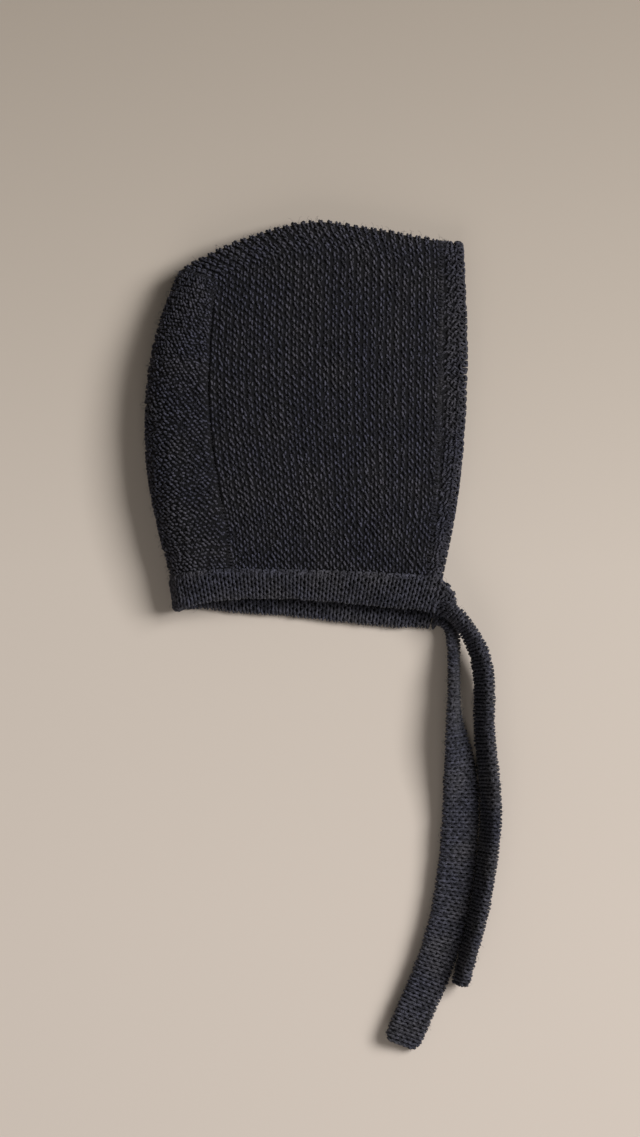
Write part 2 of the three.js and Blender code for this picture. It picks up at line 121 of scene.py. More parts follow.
FOLD_REACH = 1.15  # how far the fold's rounding reaches in, for each mm of its half height
MOST_BEND = 0.9  # of a line's half, at most, the share that the rounding takes
ON_FOLD = 0.05  # nearer than this to the fold's chords, a place counts as on the fold
SLOPE_STEP = 0.5  # to each side of a place, to find the height's slope
STRIP_WALL = 4.6  # the doubled hem and neck band
STRIP_RISE = 1.0  # the hem and the band stand this far proud of the near wall
SEAM_GAP = 0.25  # each piece stops this short of a seam that it shares
SEAM_SLANT = 1.4  # the hood's gap grows by this where its lines meet the back seam on the slant
HOOD_SPAN = 100.0  # about how far it is across the hood, to turn a length into a share of it
HOOD_RUN = 320.0  # and from the neck over the crown to the neck again
PANEL_SPAN = 130.0  # about how far it is up the panel,
PANEL_RUN = 76.0  # and from its one seam over the fold to the other
BAND_WIDTH = 17.0
BAND_SNUG = 0.25  # the share of the band's length, next to the fold, that eases onto it
TIE_THICKNESS = 4.4

# How finely a sheet's lines are cut before they are spaced evenly: up to the fold, and round its half.
LINE_CUTS = 60
FOLD_CUTS = 40

# The tubes, and the loose hairs of the wool.
YARN_SIDES = 5
HAIR_SIDES = 3
HAIR_CUTS = 6
HAIR_RADII = (0.06, 0.035)  # at its root and at its tip
HAIR_REACH = 2.5  # how far the longest stands off the wool,
HAIR_SHORTEST = 0.25  # and what share of that the shortest does
HAIR_ROOT = 0.3  # how deep in the wool it starts
HAIR_RUN = (0.6, 3.0)  # how far it goes along the wool
HAIR_BEND = 1.2  # and how far, at most, it bends aside
HAIR_ARC = 1.25  # of the way up its parabola and over, 1 being the top
MOST_CORNERS = 6  # an end with more than this many is closed with quads
PLY_TURN = 0.37  # how far each strand's twist is turned from the one before
LAYOUT_EDGE = 0.001  # what the bake layout leaves free at its two sides
LAYOUT_GAP = 0.06  # and, as a share of a tube's strip, above and below each tube


class Side(Enum):
    """Which wall of the pillow a place is on."""

    NEAR = 1
    FAR = -1

    @property
    def span(self) -> tuple[float, float]:
        """Where the wall starts and ends along a sheet that runs over the fold."""
        return (0.0, 0.5) if self is Side.NEAR else (0.5, 1.0)


# -------------------------------------------------------------------------------------- plain helpers
def lerp(a: Array | float, b: Array | float, t: Array | float) -> Array | float:
    """The value a share t of the way from a to b."""
    return a + (b - a) * t


def smooth(t: Array) -> Array:
    """An S-curve from 0 to 1: three t squared less two t cubed, held at both ends."""
    t = np.clip(t, 0, 1)
    return t * t * (3 - 2 * t)


def unit(v: Array) -> Array:
    """Each vector of an array divided by its own length."""
    return v / np.maximum(np.linalg.norm(v, axis=-1, keepdims=True), 1e-9)


def eased(keys: Array, values: Array, key: Array) -> Array:
    """A smooth value between keys, held at the ends.

    Cubic Hermite: the two values weighted by an S-curve, plus each end's slope, which is the central
    difference, times its own cubic.

    Args:
        keys: The places that have values, rising.
        values: One value for each key, or one row of values with a column for each place asked.
        key: The places asked for.

    Returns:
        The values there.
    """
    keys, values, key = (np.asarray(a, float) for a in (keys, values, key))
    order = np.arange(len(keys))
    low, high = np.maximum(order - 1, 0), np.minimum(order + 1, len(keys) - 1)
    gaps = (keys[high] - keys[low]).reshape((-1,) + (1,) * (values.ndim - 1))
    slopes = (values[high] - values[low]) / gaps
    inside = np.clip(key, keys[0], keys[-1])
    i = np.clip(np.searchsorted(keys, inside, side="right") - 1, 0, len(keys) - 2)
    span = keys[i + 1] - keys[i]
    t = (inside - keys[i]) / span

    def at(grid: Array, row: Array) -> Array:
        """Each place's own number of a table's row."""
        return grid[row] if grid.ndim == 1 else np.take_along_axis(grid, row[None], 0)[0]

    blend = lerp(at(values, i), at(values, i + 1), t * t * (3 - 2 * t))
    return (
        blend
        + span * at(slopes, i) * t * (1 - t) ** 2
        - span * at(slopes, i + 1) * t * t * (1 - t)
    )


class Line:
    """A smooth flat line through a table's points, walked by the share of its length.

    Each stretch is the uniform Catmull-Rom cubic, whose slope at a point is half the step between its
    neighbours.
    """

    CUTS = 40

    def __init__(self, rows: Rows) -> None:
        """Cuts the line finely and adds up its length."""
        points = np.array(rows, float)[:, :2]
        last = len(points) - 1
        t = np.linspace(0, last, last * self.CUTS + 1)
        i = np.minimum(t.astype(int), last - 1)
        f = (t - i)[:, None]
        p1, p2 = points[i], points[i + 1]
        v1 = (p2 - points[np.maximum(i - 1, 0)]) / 2
        v2 = (points[np.minimum(i + 2, last)] - p1) / 2
        self.points = (
            (2 * p1 - 2 * p2 + v1 + v2) * f**3 + (3 * p2 - 3 * p1 - 2 * v1 - v2) * f**2 + v1 * f + p1
        )
        steps = np.linalg.norm(np.diff(self.points, axis=0), axis=1)
        self.steps = np.concatenate([[0], np.cumsum(steps)])
        self.length = self.steps[-1]

    def at(self, share: Array) -> Array:
        """The points at these shares of the length."""
        run = np.clip(share, 0, 1) * self.length
        return np.stack([np.interp(run, self.steps, self.points[:, a]) for a in (0, 1)], -1)

    def share_of_row(self, row: int) -> float:
        """The share of the length at which the line passes one of its table's rows."""
        return float(self.steps[row * self.CUTS] / self.length)

    def share_at_x(self, x: float) -> float:
        """The share of the length at which x, which only grows along the line, has a value."""
        return float(np.interp(x, self.points[:, 0], self.steps) / self.length)


class Pillow:
    """The bonnet's hollow form: two walls that meet in a rounded fold along the crown and the back."""

    CHORDS = 120

    def __init__(self) -> None:
        """Makes the form's lines and the chords of its fold."""
        self.fold = Line(FOLD)
        self.back_seam = Line(BACK_SEAM)
        self.hem_groove = Line(HEM_GROOVE)
        self.face_edge = Line(FACE_EDGE)
        self.band_top = Line(BAND_TOP)
        self.band_foot = Line(BAND_FOOT)
        self.chords = self.fold.at(np.linspace(0, 1, self.CHORDS + 1))

    def height(self, x: Array, y: Array) -> Array:
        """How high the near wall stands: the table eased over x in each row, and then over the rows."""
        column = np.stack([eased(HEIGHT_X, row, x) for row in HEIGHT.values()])
        return eased(list(HEIGHT), column, y)

    def from_fold(self, x: Array, y: Array) -> tuple[Array, Array]:
        """How far in from the fold places are, and the direction straight in.

        The nearest of the fold's chords gives both. Outside a chord, or on it, the reach is nothing and
        the direction is the chord's left-hand normal.
        """
        a, b = self.chords[:-1], self.chords[1:]
        d = b - a
        size = np.linalg.norm(d, axis=1)
        place = np.stack([x.ravel(), y.ravel()], -1)[:, None] - a
        along = np.clip((place * d).sum(-1) / size**2, 0, 1)
        away = place - along[..., None] * d
        nearest = np.argmin((away**2).sum(-1), axis=1)
        off = away[np.arange(len(nearest)), nearest]
        chord, length = d[nearest], size[nearest]
        distance = np.linalg.norm(off, axis=1)
        inward = (off[:, 1] * chord[:, 0] - off[:, 0] * chord[:, 1]) / length
        left = np.stack([-chord[:, 1], chord[:, 0]], -1) / length[:, None]
        clear = inward > ON_FOLD
        reach = np.where(clear, distance, np.maximum(0, inward))
        direction = np.where(clear[:, None], off / np.maximum(distance, 1e-9)[:, None], left)
        return reach.reshape(x.shape), direction.reshape(*x.shape, 2)

    def surface(self, place: Array, side: Array) -> tuple[Array, Array]:
        """The outer surface over places, and its outward normal.

        The near wall stands at the height, and close to the fold both walls curve together as an
        ellipse: half the height times one plus or minus the root of one less the square of how short
        the reach falls of the rounding's radius.

        Args:
            place: Flat places, the last axis x and y.
            side: 1 for the near wall and -1 for the far one.

        Returns:
            The points and the unit normals.
        """
        x, y = place[..., 0], place[..., 1]
        top = self.height(x, y)
        step = SLOPE_STEP
        slope_x = (self.height(x + step, y) - self.height(x - step, y)) / (2 * step)
        slope_y = (self.height(x, y + step) - self.height(x, y - step)) / (2 * step)
        reach, direction = self.from_fold(x, y)
        radius = FOLD_REACH * top / 2
        short = np.maximum(0, 1 - reach / radius)
        z = top / 2 * (1 + side * np.sqrt(np.maximum(0, 1 - short**2)))
        q = 2 * z / top - 1
        steep = q * z * 2 / top**2
        normal = np.stack(
            [
                -steep * slope_x - short * direction[..., 0] / radius,
                -steep * slope_y - short * direction[..., 1] / radius,
                2 * q / top,
            ],
            -1,
        )
        return np.stack([x, y, z], -1), unit(normal)

    def slid(self, place: Array, side: Array) -> Array:
        """Places, slid towards the neck on the far wall by the droop, which fades up to the crown."""
        down = eased([x for x, _ in DROOP], [d for _, d in DROOP], place[..., 0])
        left = np.clip(1 - (place[..., 1] - NECK_LINE) / DROOP_FADE, 0, 1)
        moved = place.copy()
        moved[..., 1] -= np.where(side < 0, down * left**2, 0)
        return moved


PILLOW = Pillow()


# ------------------------------------------------------------------------------- sheets as fine grids
class Patch:
    """A curved sheet on a fine grid, read between its points.

    u goes across the sheet's lines and v along them. On a sheet that runs over the fold, v is a half on
    the fold, and on each side of it v grows evenly with the length.
    """

    def __init__(self, points: Array, normals: Array, u_span: tuple[float, float] = (0, 1)) -> None:
        """Keeps the grid and its steps per unit of u and of v."""
        self.u_span = u_span
        rows, columns = points.shape[:2]
        du = (u_span[1] - u_span[0]) / (rows - 1)
        across = np.gradient(points, du, axis=0)
        along = np.gradient(points, 1 / (columns - 1), axis=1)
        self.grid = np.concatenate([points, normals, across, along], -1)

    def at(self, u: Array, v: Array) -> tuple[Array, Array, Array, Array]:
        """Bilinear reading of the grid.

        Args:
            u: Places across, and
            v: places along, of one shape.

        Returns:
            The points, the unit normals, and the steps per unit of u and of v.
        """
        rows, columns = self.grid.shape[:2]
        i = np.clip((u - self.u_span[0]) / (self.u_span[1] - self.u_span[0]), 0, 1) * (rows - 1)
        j = np.clip(v, 0, 1) * (columns - 1)
        i0, j0 = np.minimum(i.astype(int), rows - 2), np.minimum(j.astype(int), columns - 2)
        s, t = (i - i0)[..., None], (j - j0)[..., None]
        g = self.grid
        low = lerp(g[i0, j0], g[i0, j0 + 1], t)
        high = lerp(g[i0 + 1, j0], g[i0 + 1, j0 + 1], t)
        found = lerp(low, high, s)
        return found[..., :3], unit(found[..., 3:6]), found[..., 6:9], found[..., 9:12]

    def place(self, u: Array, v: Array, across: Array, along: Array, up: Array) -> tuple[Array, Array]:
        """Points set off from places of the sheet by millimetres across, along and up.

        Args:
            u: Places across, and
            v: places along.
            across: How far each point is moved towards greater u.
            along: How far it is moved towards greater v.
            up: How far it is lifted along the normal.

        Returns:
            The points and the sheet's normals under them.
        """
        _, _, du, dv = self.at(u, v)
        u = u + across / np.linalg.norm(du, axis=-1)
        v = v + along / np.linalg.norm(dv, axis=-1)
        point, normal, _, _ = self.at(u, v)
        return point + normal * np.asarray(up)[..., None], normal


def over_fold(
    where: Callable[[Array, Array, int], Array],
    shares: Array,
    bends: Array,
    steps: int,
    rise: float = 0.0,
) -> Patch:
    """A sheet whose lines run up the near wall, round the fold and back along the far wall.

    Each line is first cut by shares of the way to the fold, with the last stretch cut by equal angles
    of the fold. Its cumulative length then gives the shares that space it evenly.

    Args:
        where: Gives flat places from u, shares of the way to the fold, and the side.
        shares: The lines' u.
        bends: For each line, the share of its half that curves down to the fold.
        steps: How many steps each half gets.
        rise: How far the sheet stands proud of the pillow on the near wall, fading to none on the far.

    Returns:
        The sheet.
    """
    straight = np.linspace(0, 1, LINE_CUTS)[:-1]
    angles = np.linspace(np.pi / 2, 0, FOLD_CUTS)
    bends = bends[:, None]
    raw = np.concatenate([straight * (1 - bends), 1 - bends * (1 - np.cos(angles))], 1)
    halves = []
    for side in (wall.value for wall in Side):
        point, _ = PILLOW.surface(where(shares[:, None], raw, side), side)
        run = np.cumsum(np.linalg.norm(np.diff(point, axis=1), axis=-1), axis=1)
        run = np.concatenate([np.zeros((len(run), 1)), run], 1)
        even = np.stack(
            [np.interp(np.linspace(0, r[-1], steps + 1), r, s) for r, s in zip(run, raw)]
        )
        halves.append(PILLOW.surface(where(shares[:, None], even, side), side))
    points = np.concatenate([halves[0][0], halves[1][0][:, -2::-1]], 1)
    normals = np.concatenate([halves[0][1], halves[1][1][:, -2::-1]], 1)
    points = points + normals * (rise * (1 + normals[..., 2:]) / 2)
    return Patch(points, normals)


def bends_of(lengths: Array, places: Array) -> Array:
    """The share of each line that curves down to the fold, from its length and its place on the fold."""
    rounding = FOLD_REACH * PILLOW.height(places[..., 0], places[..., 1]) / 2
    return np.minimum(MOST_BEND, rounding / lengths)


def sleeved(patch: Patch, wall: float, inset: float, rows: int, edge: float = 1.0) -> Patch:
    """The skin of a doubled strip: along its outside, round its edge at u = 1 and back inside.

    The section is a flat strip with one half-round end. Its outside and its inside lie `inset` under
    the strip's own faces.

    Args:
        patch: The strip's outer face, with u from its seam to its edge.
        wall: The strip's thickness.
        inset: How far under the strip's faces the skin lies.
        rows: How many points the section has.
        edge: Where across the face the strip's edge is.

    Returns:
        The skin, with u from the seam outside to the seam inside.
    """
    v = np.linspace(0, 1, patch.grid.shape[1])[None]
    face = np.linalg.norm(patch.at(np.full_like(v, 0.5), v)[2], axis=-1)
    span = face * edge
    radius = wall / 2 - inset
    flat = np.maximum(span - wall / 2, 0.2)
    whole = 2 * flat + np.pi * radius
    run = np.linspace(0, 1, rows)[:, None] * whole
    angle = np.clip((run - flat) / radius, 0, np.pi)
    inside = np.maximum(run - flat - np.pi * radius, 0)
    out = np.minimum(run, flat) + radius * np.sin(angle) - inside
    depth = wall / 2 - radius * np.cos(angle)
    u = out / face
    point, normal, du, _ = patch.at(u, v + 0 * u)
    over = np.maximum(out - face, 0)
    across = unit(du - normal * (du * normal).sum(-1, keepdims=True))
    skin = unit(normal * np.cos(angle)[..., None] + across * np.sin(angle)[..., None])
    return Patch(point - normal * depth[..., None] + across * over[..., None], skin)


# ------------------------------------------------------------------------------------ yarn into mesh
def rings(
    centres: Array, normals: Array, radius: float | Array, sides: int = YARN_SIDES
) -> Array:
    """Round sections along strands.

    Each ring is its centre plus the radius times the cosine of an angle along the strand's side
    direction and its sine along the direction that stands up from the sheet.

    Args:
        centres: Strands of points, shaped strands by points by 3.
        normals: The sheet's normals there.
        radius: The yarn's radius, or one for each point.
        sides: How many points a ring has.

    Returns:
        The rings, shaped strands by points by sides by 3.
    """
    ahead = unit(np.gradient(centres, axis=1))
    side = unit(np.cross(ahead, normals))
    up = np.cross(side, ahead)
    angle = (np.arange(sides) + 0.5) * TURN / sides
    radius = np.broadcast_to(np.asarray(radius, float), centres.shape[:2])[..., None, None]
    ring = side[:, :, None] * np.cos(angle)[:, None] + up[:, :, None] * np.sin(angle)[:, None]
    return centres[:, :, None] + radius * ring


class Skein:
    """Closed tubes gathered into one mesh, each with a closed end at both ends."""

    def __init__(self) -> None:
        """Starts with no tubes."""
        self.batches: list[Array] = []

    def add(self, tubes: Array) -> None:
        """Adds tubes, turned so that their faces point out.

        The volume's sign is that of the sum, over the sides, of a corner's dot product with the cross
        product of the quad's diagonals.

        Args:
            tubes: Rings, shaped tubes by points by sides by 3.
        """
        a, c = tubes[:, :-1], np.roll(tubes, -1, 2)[:, 1:]
        b, d = tubes[:, 1:], np.roll(tubes, -1, 2)[:, :-1]
        middle = tubes.mean(axis=(1, 2), keepdims=True)
        volume = ((a - middle) * np.cross(c - a, d - b)).sum(axis=(1, 2, 3))
        wrong = volume > 0
        tubes = tubes.copy()
        tubes[wrong] = tubes[wrong][:, :, ::-1]
        self.batches.append(tubes)

    @staticmethod
    def _faces(tubes: Array, first: int) -> tuple[Array, list[Array]]:
        """The vertex numbers of a batch's sides, and of the faces that close its ends."""
        count, points, sides = tubes.shape[:3]
        number = first + np.arange(count * points * sides).reshape(count, points, sides)
        after = np.roll(number, -1, 2)
        quads = np.stack([number[:, :-1], number[:, 1:], after[:, 1:], after[:, :-1]], -1)
        ends = []
        for ring in (number[:, 0], number[:, -1, ::-1]):
            if sides <= MOST_CORNERS:
                ends.append(ring)
            else:
                k = np.arange(sides // 2 - 1)
                rung = [ring[:, k], ring[:, k + 1], ring[:, sides - 2 - k], ring[:, sides - 1 - k]]
                ends.append(np.stack(rung, -1).reshape(-1, 4))
        return quads.reshape(-1, 4), ends

    @staticmethod
    def _layout(tubes: Array, top: float, height: float) -> tuple[Array, Array]:
        """Each side quad's corners in the bake layout, and in lengths along and shares around.

        A tube is one strip of the layout, as long as the layout is wide, with its sides one above
        another.
        """
        count, points, sides = tubes.shape[:3]
        t, p, s = np.meshgrid(np.arange(count), np.arange(points - 1), np.arange(sides), indexing="ij")
        corner_p = np.stack([p, p + 1, p + 1, p], -1)
        corner_s = np.stack([s, s, s + 1, s + 1], -1)
        right = LAYOUT_EDGE + (1 - 2 * LAYOUT_EDGE) * corner_p / (points - 1)
        up = t[..., None] + LAYOUT_GAP + (1 - 2 * LAYOUT_GAP) * corner_s / sides
        bake = np.stack([right, top + height * up], -1)
        steps = np.linalg.norm(np.diff(tubes.mean(2), axis=1), axis=-1)
        run = np.concatenate([np.zeros((count, 1)), np.cumsum(steps, 1)], 1)
        along = np.take_along_axis(run, corner_p.reshape(count, -1), 1).reshape(corner_p.shape)
        yarn = np.stack([along * METRES, corner_s / sides + PLY_TURN * t[..., None]], -1)
        return bake.reshape(-1, 2), yarn.reshape(-1, 2)

    def mesh(self, name: str) -> bpy.types.Object:
        """Makes the object, at the origin, with what would lie under the surface pressed flat on it.

        Args:
            name: The piece's name.

        Returns:
            The object, linked to the scene.
        """
        loops, starts, bakes, yarns = [], [], [], []
        first, begin, top = 0, 0, 0.0
        strip = 1 / sum(len(tubes) for tubes in self.batches)
        for tubes in self.batches:
            quads, ends = self._faces(tubes, first)
            bake, yarn = self._layout(tubes, top, strip)
            for block, flat in [(quads, True), (ends[0], False), (ends[1], False)]:
                starts.append(begin + np.arange(len(block)) * block.shape[1])
                begin += block.size
                loops.append(block.ravel())
                bakes.append(bake if flat else np.full((block.size, 2), LAYOUT_EDGE / 2))
                yarns.append(yarn if flat else np.zeros((block.size, 2)))
            first += tubes[..., 0].size
            top += len(tubes) * strip
        vertices = np.concatenate([tubes.reshape(-1, 3) for tubes in self.batches]) * METRES
        vertices[:, 2] = np.maximum(vertices[:, 2], 0.0)
        mesh = bpy.data.meshes.new(name)
        mesh.vertices.add(len(vertices))
        mesh.vertices.foreach_set("co", vertices.astype(np.float32).ravel())
        corners = np.concatenate(loops)
        mesh.loops.add(len(corners))
        mesh.loops.foreach_set("vertex_index", corners.astype(np.int32))
        begins = np.concatenate(starts)
        mesh.polygons.add(len(begins))
        mesh.polygons.foreach_set("loop_start", begins.astype(np.int32))
        mesh.update(calc_edges=True)
        for title, flat in (("OFBake", bakes), ("Yarn", yarns)):
            layer = mesh.uv_layers.new(name=title)
            layer.data.foreach_set("uv", np.concatenate(flat).astype(np.float32).ravel())
        mesh.validate()
        mesh.polygons.foreach_set("use_smooth", np.ones(len(mesh.polygons), bool))
        made = bpy.data.objects.new(name, mesh)
        bpy.context.scene.collection.objects.link(made)
        return made


# -------------------------------------------------------------------------------------------- stitches
@dataclass(frozen=True)
class Garter:
    """How the yarn lies in garter stitch, in millimetres.

    Two strands make a ridge, half a stitch apart. Each rises to a short bump on its own side of the
    ridge, dives under the other's bumps and turns back on the cloth's other face.
    """

    yarn: float = 0.5
    bump: float = 0.64
    back: float = 2.0
    crest: float = -0.38
    arch: float = 0.22
    depth: float = 1.9
    slant: float = 0.13
    wander: float = 0.2
    # In shares of a stitch: where the bump ends, where the yarn has dived, and how long a change takes.
    bump_end: float = 0.17
    dive_end: float = 0.27
    change: float = 0.2
    # How much one bump differs from the next in size, and how much of that goes along the ridge.
    size_spread: float = 0.16
    stretch: float = 0.45

    def knit(
        self,
        patch: Patch,
        ridges: Array,
        span: tuple[float, float],
        stitches: int,
        seed: int,
        lean: Callable[[Array, Array], Array] | None = None,
        sink: Callable[[Array, Array], Array] | None = None,
    ) -> Array:
        """The yarn of a run of ridges.

        Over the bump the yarn keeps to its own side, crossing it on a slant, and its height falls as
        the square of the way from the bump's middle. Past its ends an S-curve first takes it down, and
        then another takes it across to the back.

        Args:
            patch: The sheet.
            ridges: The ridges' places across it.
            span: Where along it they start and end.
            stitches: How many stitches each has.
            seed: Sets the hand's unevenness.
            lean: Moves a ridge across as it runs along, from its place and from v.
            sink: Lowers the yarn near seams, from u and v.

        Returns:
            The yarn's rings.
        """
        random = np.random.default_rng(seed)
        turn = 0.5  # of a stitch on from the bump's middle, where the yarn turns at the back
        cuts = np.array([-self.dive_end, -self.bump_end, 0, self.bump_end, self.dive_end, turn])
        centres, normals = [], []
        for way in (1, -1):
            # Half a stitch lies between the two strands' bumps.
            first = np.arange(stitches)[None, :, None] + (0.04 if way > 0 else 0.54)
            off = np.broadcast_to(cuts, (len(ridges), stitches, len(cuts)))
            local = np.clip(np.where(off == turn, 0, off) / self.bump_end, -1.3, 1.3)
            dive = smooth((np.abs(off) - self.bump_end) / self.change)
            behind = smooth((np.abs(off) - self.dive_end) / self.change)
            size = self.size_spread * random.normal(size=(len(ridges), stitches, 1))
            uneven = random.normal(size=(3, len(ridges), stitches, 1)) * self.wander * (1 - behind)
            across = way * lerp(self.bump, -self.back, behind) + self.slant * local * (1 - behind)
            across = across + uneven[0] + uneven[2] / 2 * local
            up = self.crest - self.arch * local**2 - self.depth * dive + 0.6 * uneven[2]
            along = uneven[1] + self.stretch * size * local
            v = lerp(span[0], span[1], (first + off) / (stitches + 0.25))
            flat = (len(ridges), -1)
            v, across, up, along = (x.reshape(flat) for x in (v, across, up, along))
            u = ridges[:, None] + 0 * v
            if lean:
                u = lean(u, v)
            if sink:
                up = up - sink(u, v)
            point, normal = patch.place(u, v, across, along, up)
            centres.append(point)
            normals.append(normal)
        return rings(np.concatenate(centres), np.concatenate(normals), self.yarn)


@dataclass(frozen=True)
class Stocking:
    """How the yarn lies in stocking stitch, in millimetres: columns of V, with rows of yarn along v."""

    yarn: float = 0.6
    loop: float = 0.78
    bulge: float = 0.2
    crest: float = -0.1
    depth: float = 0.45
    wander: float = 0.1
    segments: int = 10

    def knit(
        self,
        patch: Patch,
        courses: Array,
        spacing: float | None,
        span: tuple[float, float],
        wales: int,
        seed: int,
        sink: Callable[[Array, Array], Array] | None = None,
    ) -> Array:
        """The yarn of a run of courses.

        With the phase going once round for each stitch, the yarn goes on evenly plus the bulge times
        the sine of twice the phase, swings across as the phase's cosine, and dips twice, at its two
        turns, as the cosine of twice the phase.

        Args:
            patch: The sheet, with u across the courses.
            courses: Their places across it.
            spacing: Millimetres from one course to the next, or none where they share the sheet's
                whole width evenly, however it is gathered.
            span: Where along the sheet they start and end.
            wales: How many stitches each has.
            seed: Sets the hand's unevenness.
            sink: Lowers the yarn, from u and v.

        Returns:
            The yarn's rings.
        """
        random = np.random.default_rng(seed)
        t = np.arange(wales * self.segments + 1) / self.segments
        phase = TURN * t[None] + 0 * courses[:, None]
        v = lerp(span[0], span[1], t / wales)[None] + 0 * phase
        u = courses[:, None] + 0 * phase
        _, _, du, dv = patch.at(u, v)
        if spacing is None:
            spacing = np.linalg.norm(du, axis=-1) / len(courses)
        wale = np.linalg.norm(dv, axis=-1) * abs(span[1] - span[0]) / wales
        cell = np.minimum((t - 1e-9).astype(int), wales - 1)
        uneven = random.normal(size=(3, len(courses), wales))[:, :, cell] * self.wander
        across = self.loop * spacing * np.cos(phase) + uneven[0]
        along = self.bulge * wale * np.sin(2 * phase)
        up = self.crest - self.depth * np.cos(2 * phase) + uneven[2] / 2
        if sink:
            up = up - sink(u, v)
        return rings(*patch.place(u, v, across, along, up), self.yarn)


def fibres(patch: Patch, count: int, reach: float, seed: int) -> Array:
    """Loose hairs that stand off a sheet.

    Each starts just under the surface and follows a parabola: out along the normal, and sideways by
    the square of the way along it. None that would pass under the surface is kept.

    Args:
        patch: The sheet.
        count: How many there are.
        reach: How far the longest stand off it.
        seed: Sets their places.

    Returns:
        Their rings.
    """
    random = np.random.default_rng(seed)
    u = random.uniform(*patch.u_span, count)[:, None]
    v = random.uniform(0.004, 0.996, count)[:, None]
    point, normal, du, dv = patch.at(u, v)
    turn = random.uniform(0, TURN, (count, 1, 1))
    flat = unit(du) * np.cos(turn) + unit(dv) * np.sin(turn)
    aside = unit(du) * np.cos(turn + 1.4) + unit(dv) * np.sin(turn + 1.4)
    t = np.linspace(0, 1, HAIR_CUTS)[None, :, None]
    out = random.uniform(HAIR_SHORTEST, 1, (count, 1, 1)) * reach
    run = random.uniform(*HAIR_RUN, (count, 1, 1))
    bend = random.uniform(-HAIR_BEND, HAIR_BEND, (count, 1, 1))
    rise = out * (1 - (1 - HAIR_ARC * t) ** 2) - HAIR_ROOT
    centre = point + normal * rise + flat * run * t + aside * bend * t**2
    centre = centre[(centre[..., 2] > 0).all(1)]
    spare = np.cross(unit(np.gradient(centre, axis=1)), np.array([0.31, 0.52, 0.79]))
    return rings(centre, unit(spare), np.linspace(*HAIR_RADII, HAIR_CUTS)[None], HAIR_SIDES)


# -------------------------------------------------------------------------------------------- finishes
def colour_ramp(
    tree: bpy.types.NodeTree, stops: Stops, value: bpy.types.NodeSocket
) -> bpy.types.NodeSocket:
    """A colour that goes from stop to stop with a value.

    Args:
        tree: The material's nodes.
        stops: Positions with their colours, rising. The ramp's own two elements take the first and the
            last one.
        value: The value.

    Returns:
        The colour.
    """
    ramp = tree.nodes.new("ShaderNodeValToRGB")
    elements = ramp.color_ramp.elements
    for element, (position, colour) in zip((elements[0], elements[1]), (stops[0], stops[-1])):
        element.position, element.color = position, (*colour, 1)
    for position, colour in stops[1:-1]:
        elements.new(position).color = (*colour, 1)
    tree.links.new(value, ramp.inputs["Fac"])
    return ramp.outputs["Color"]


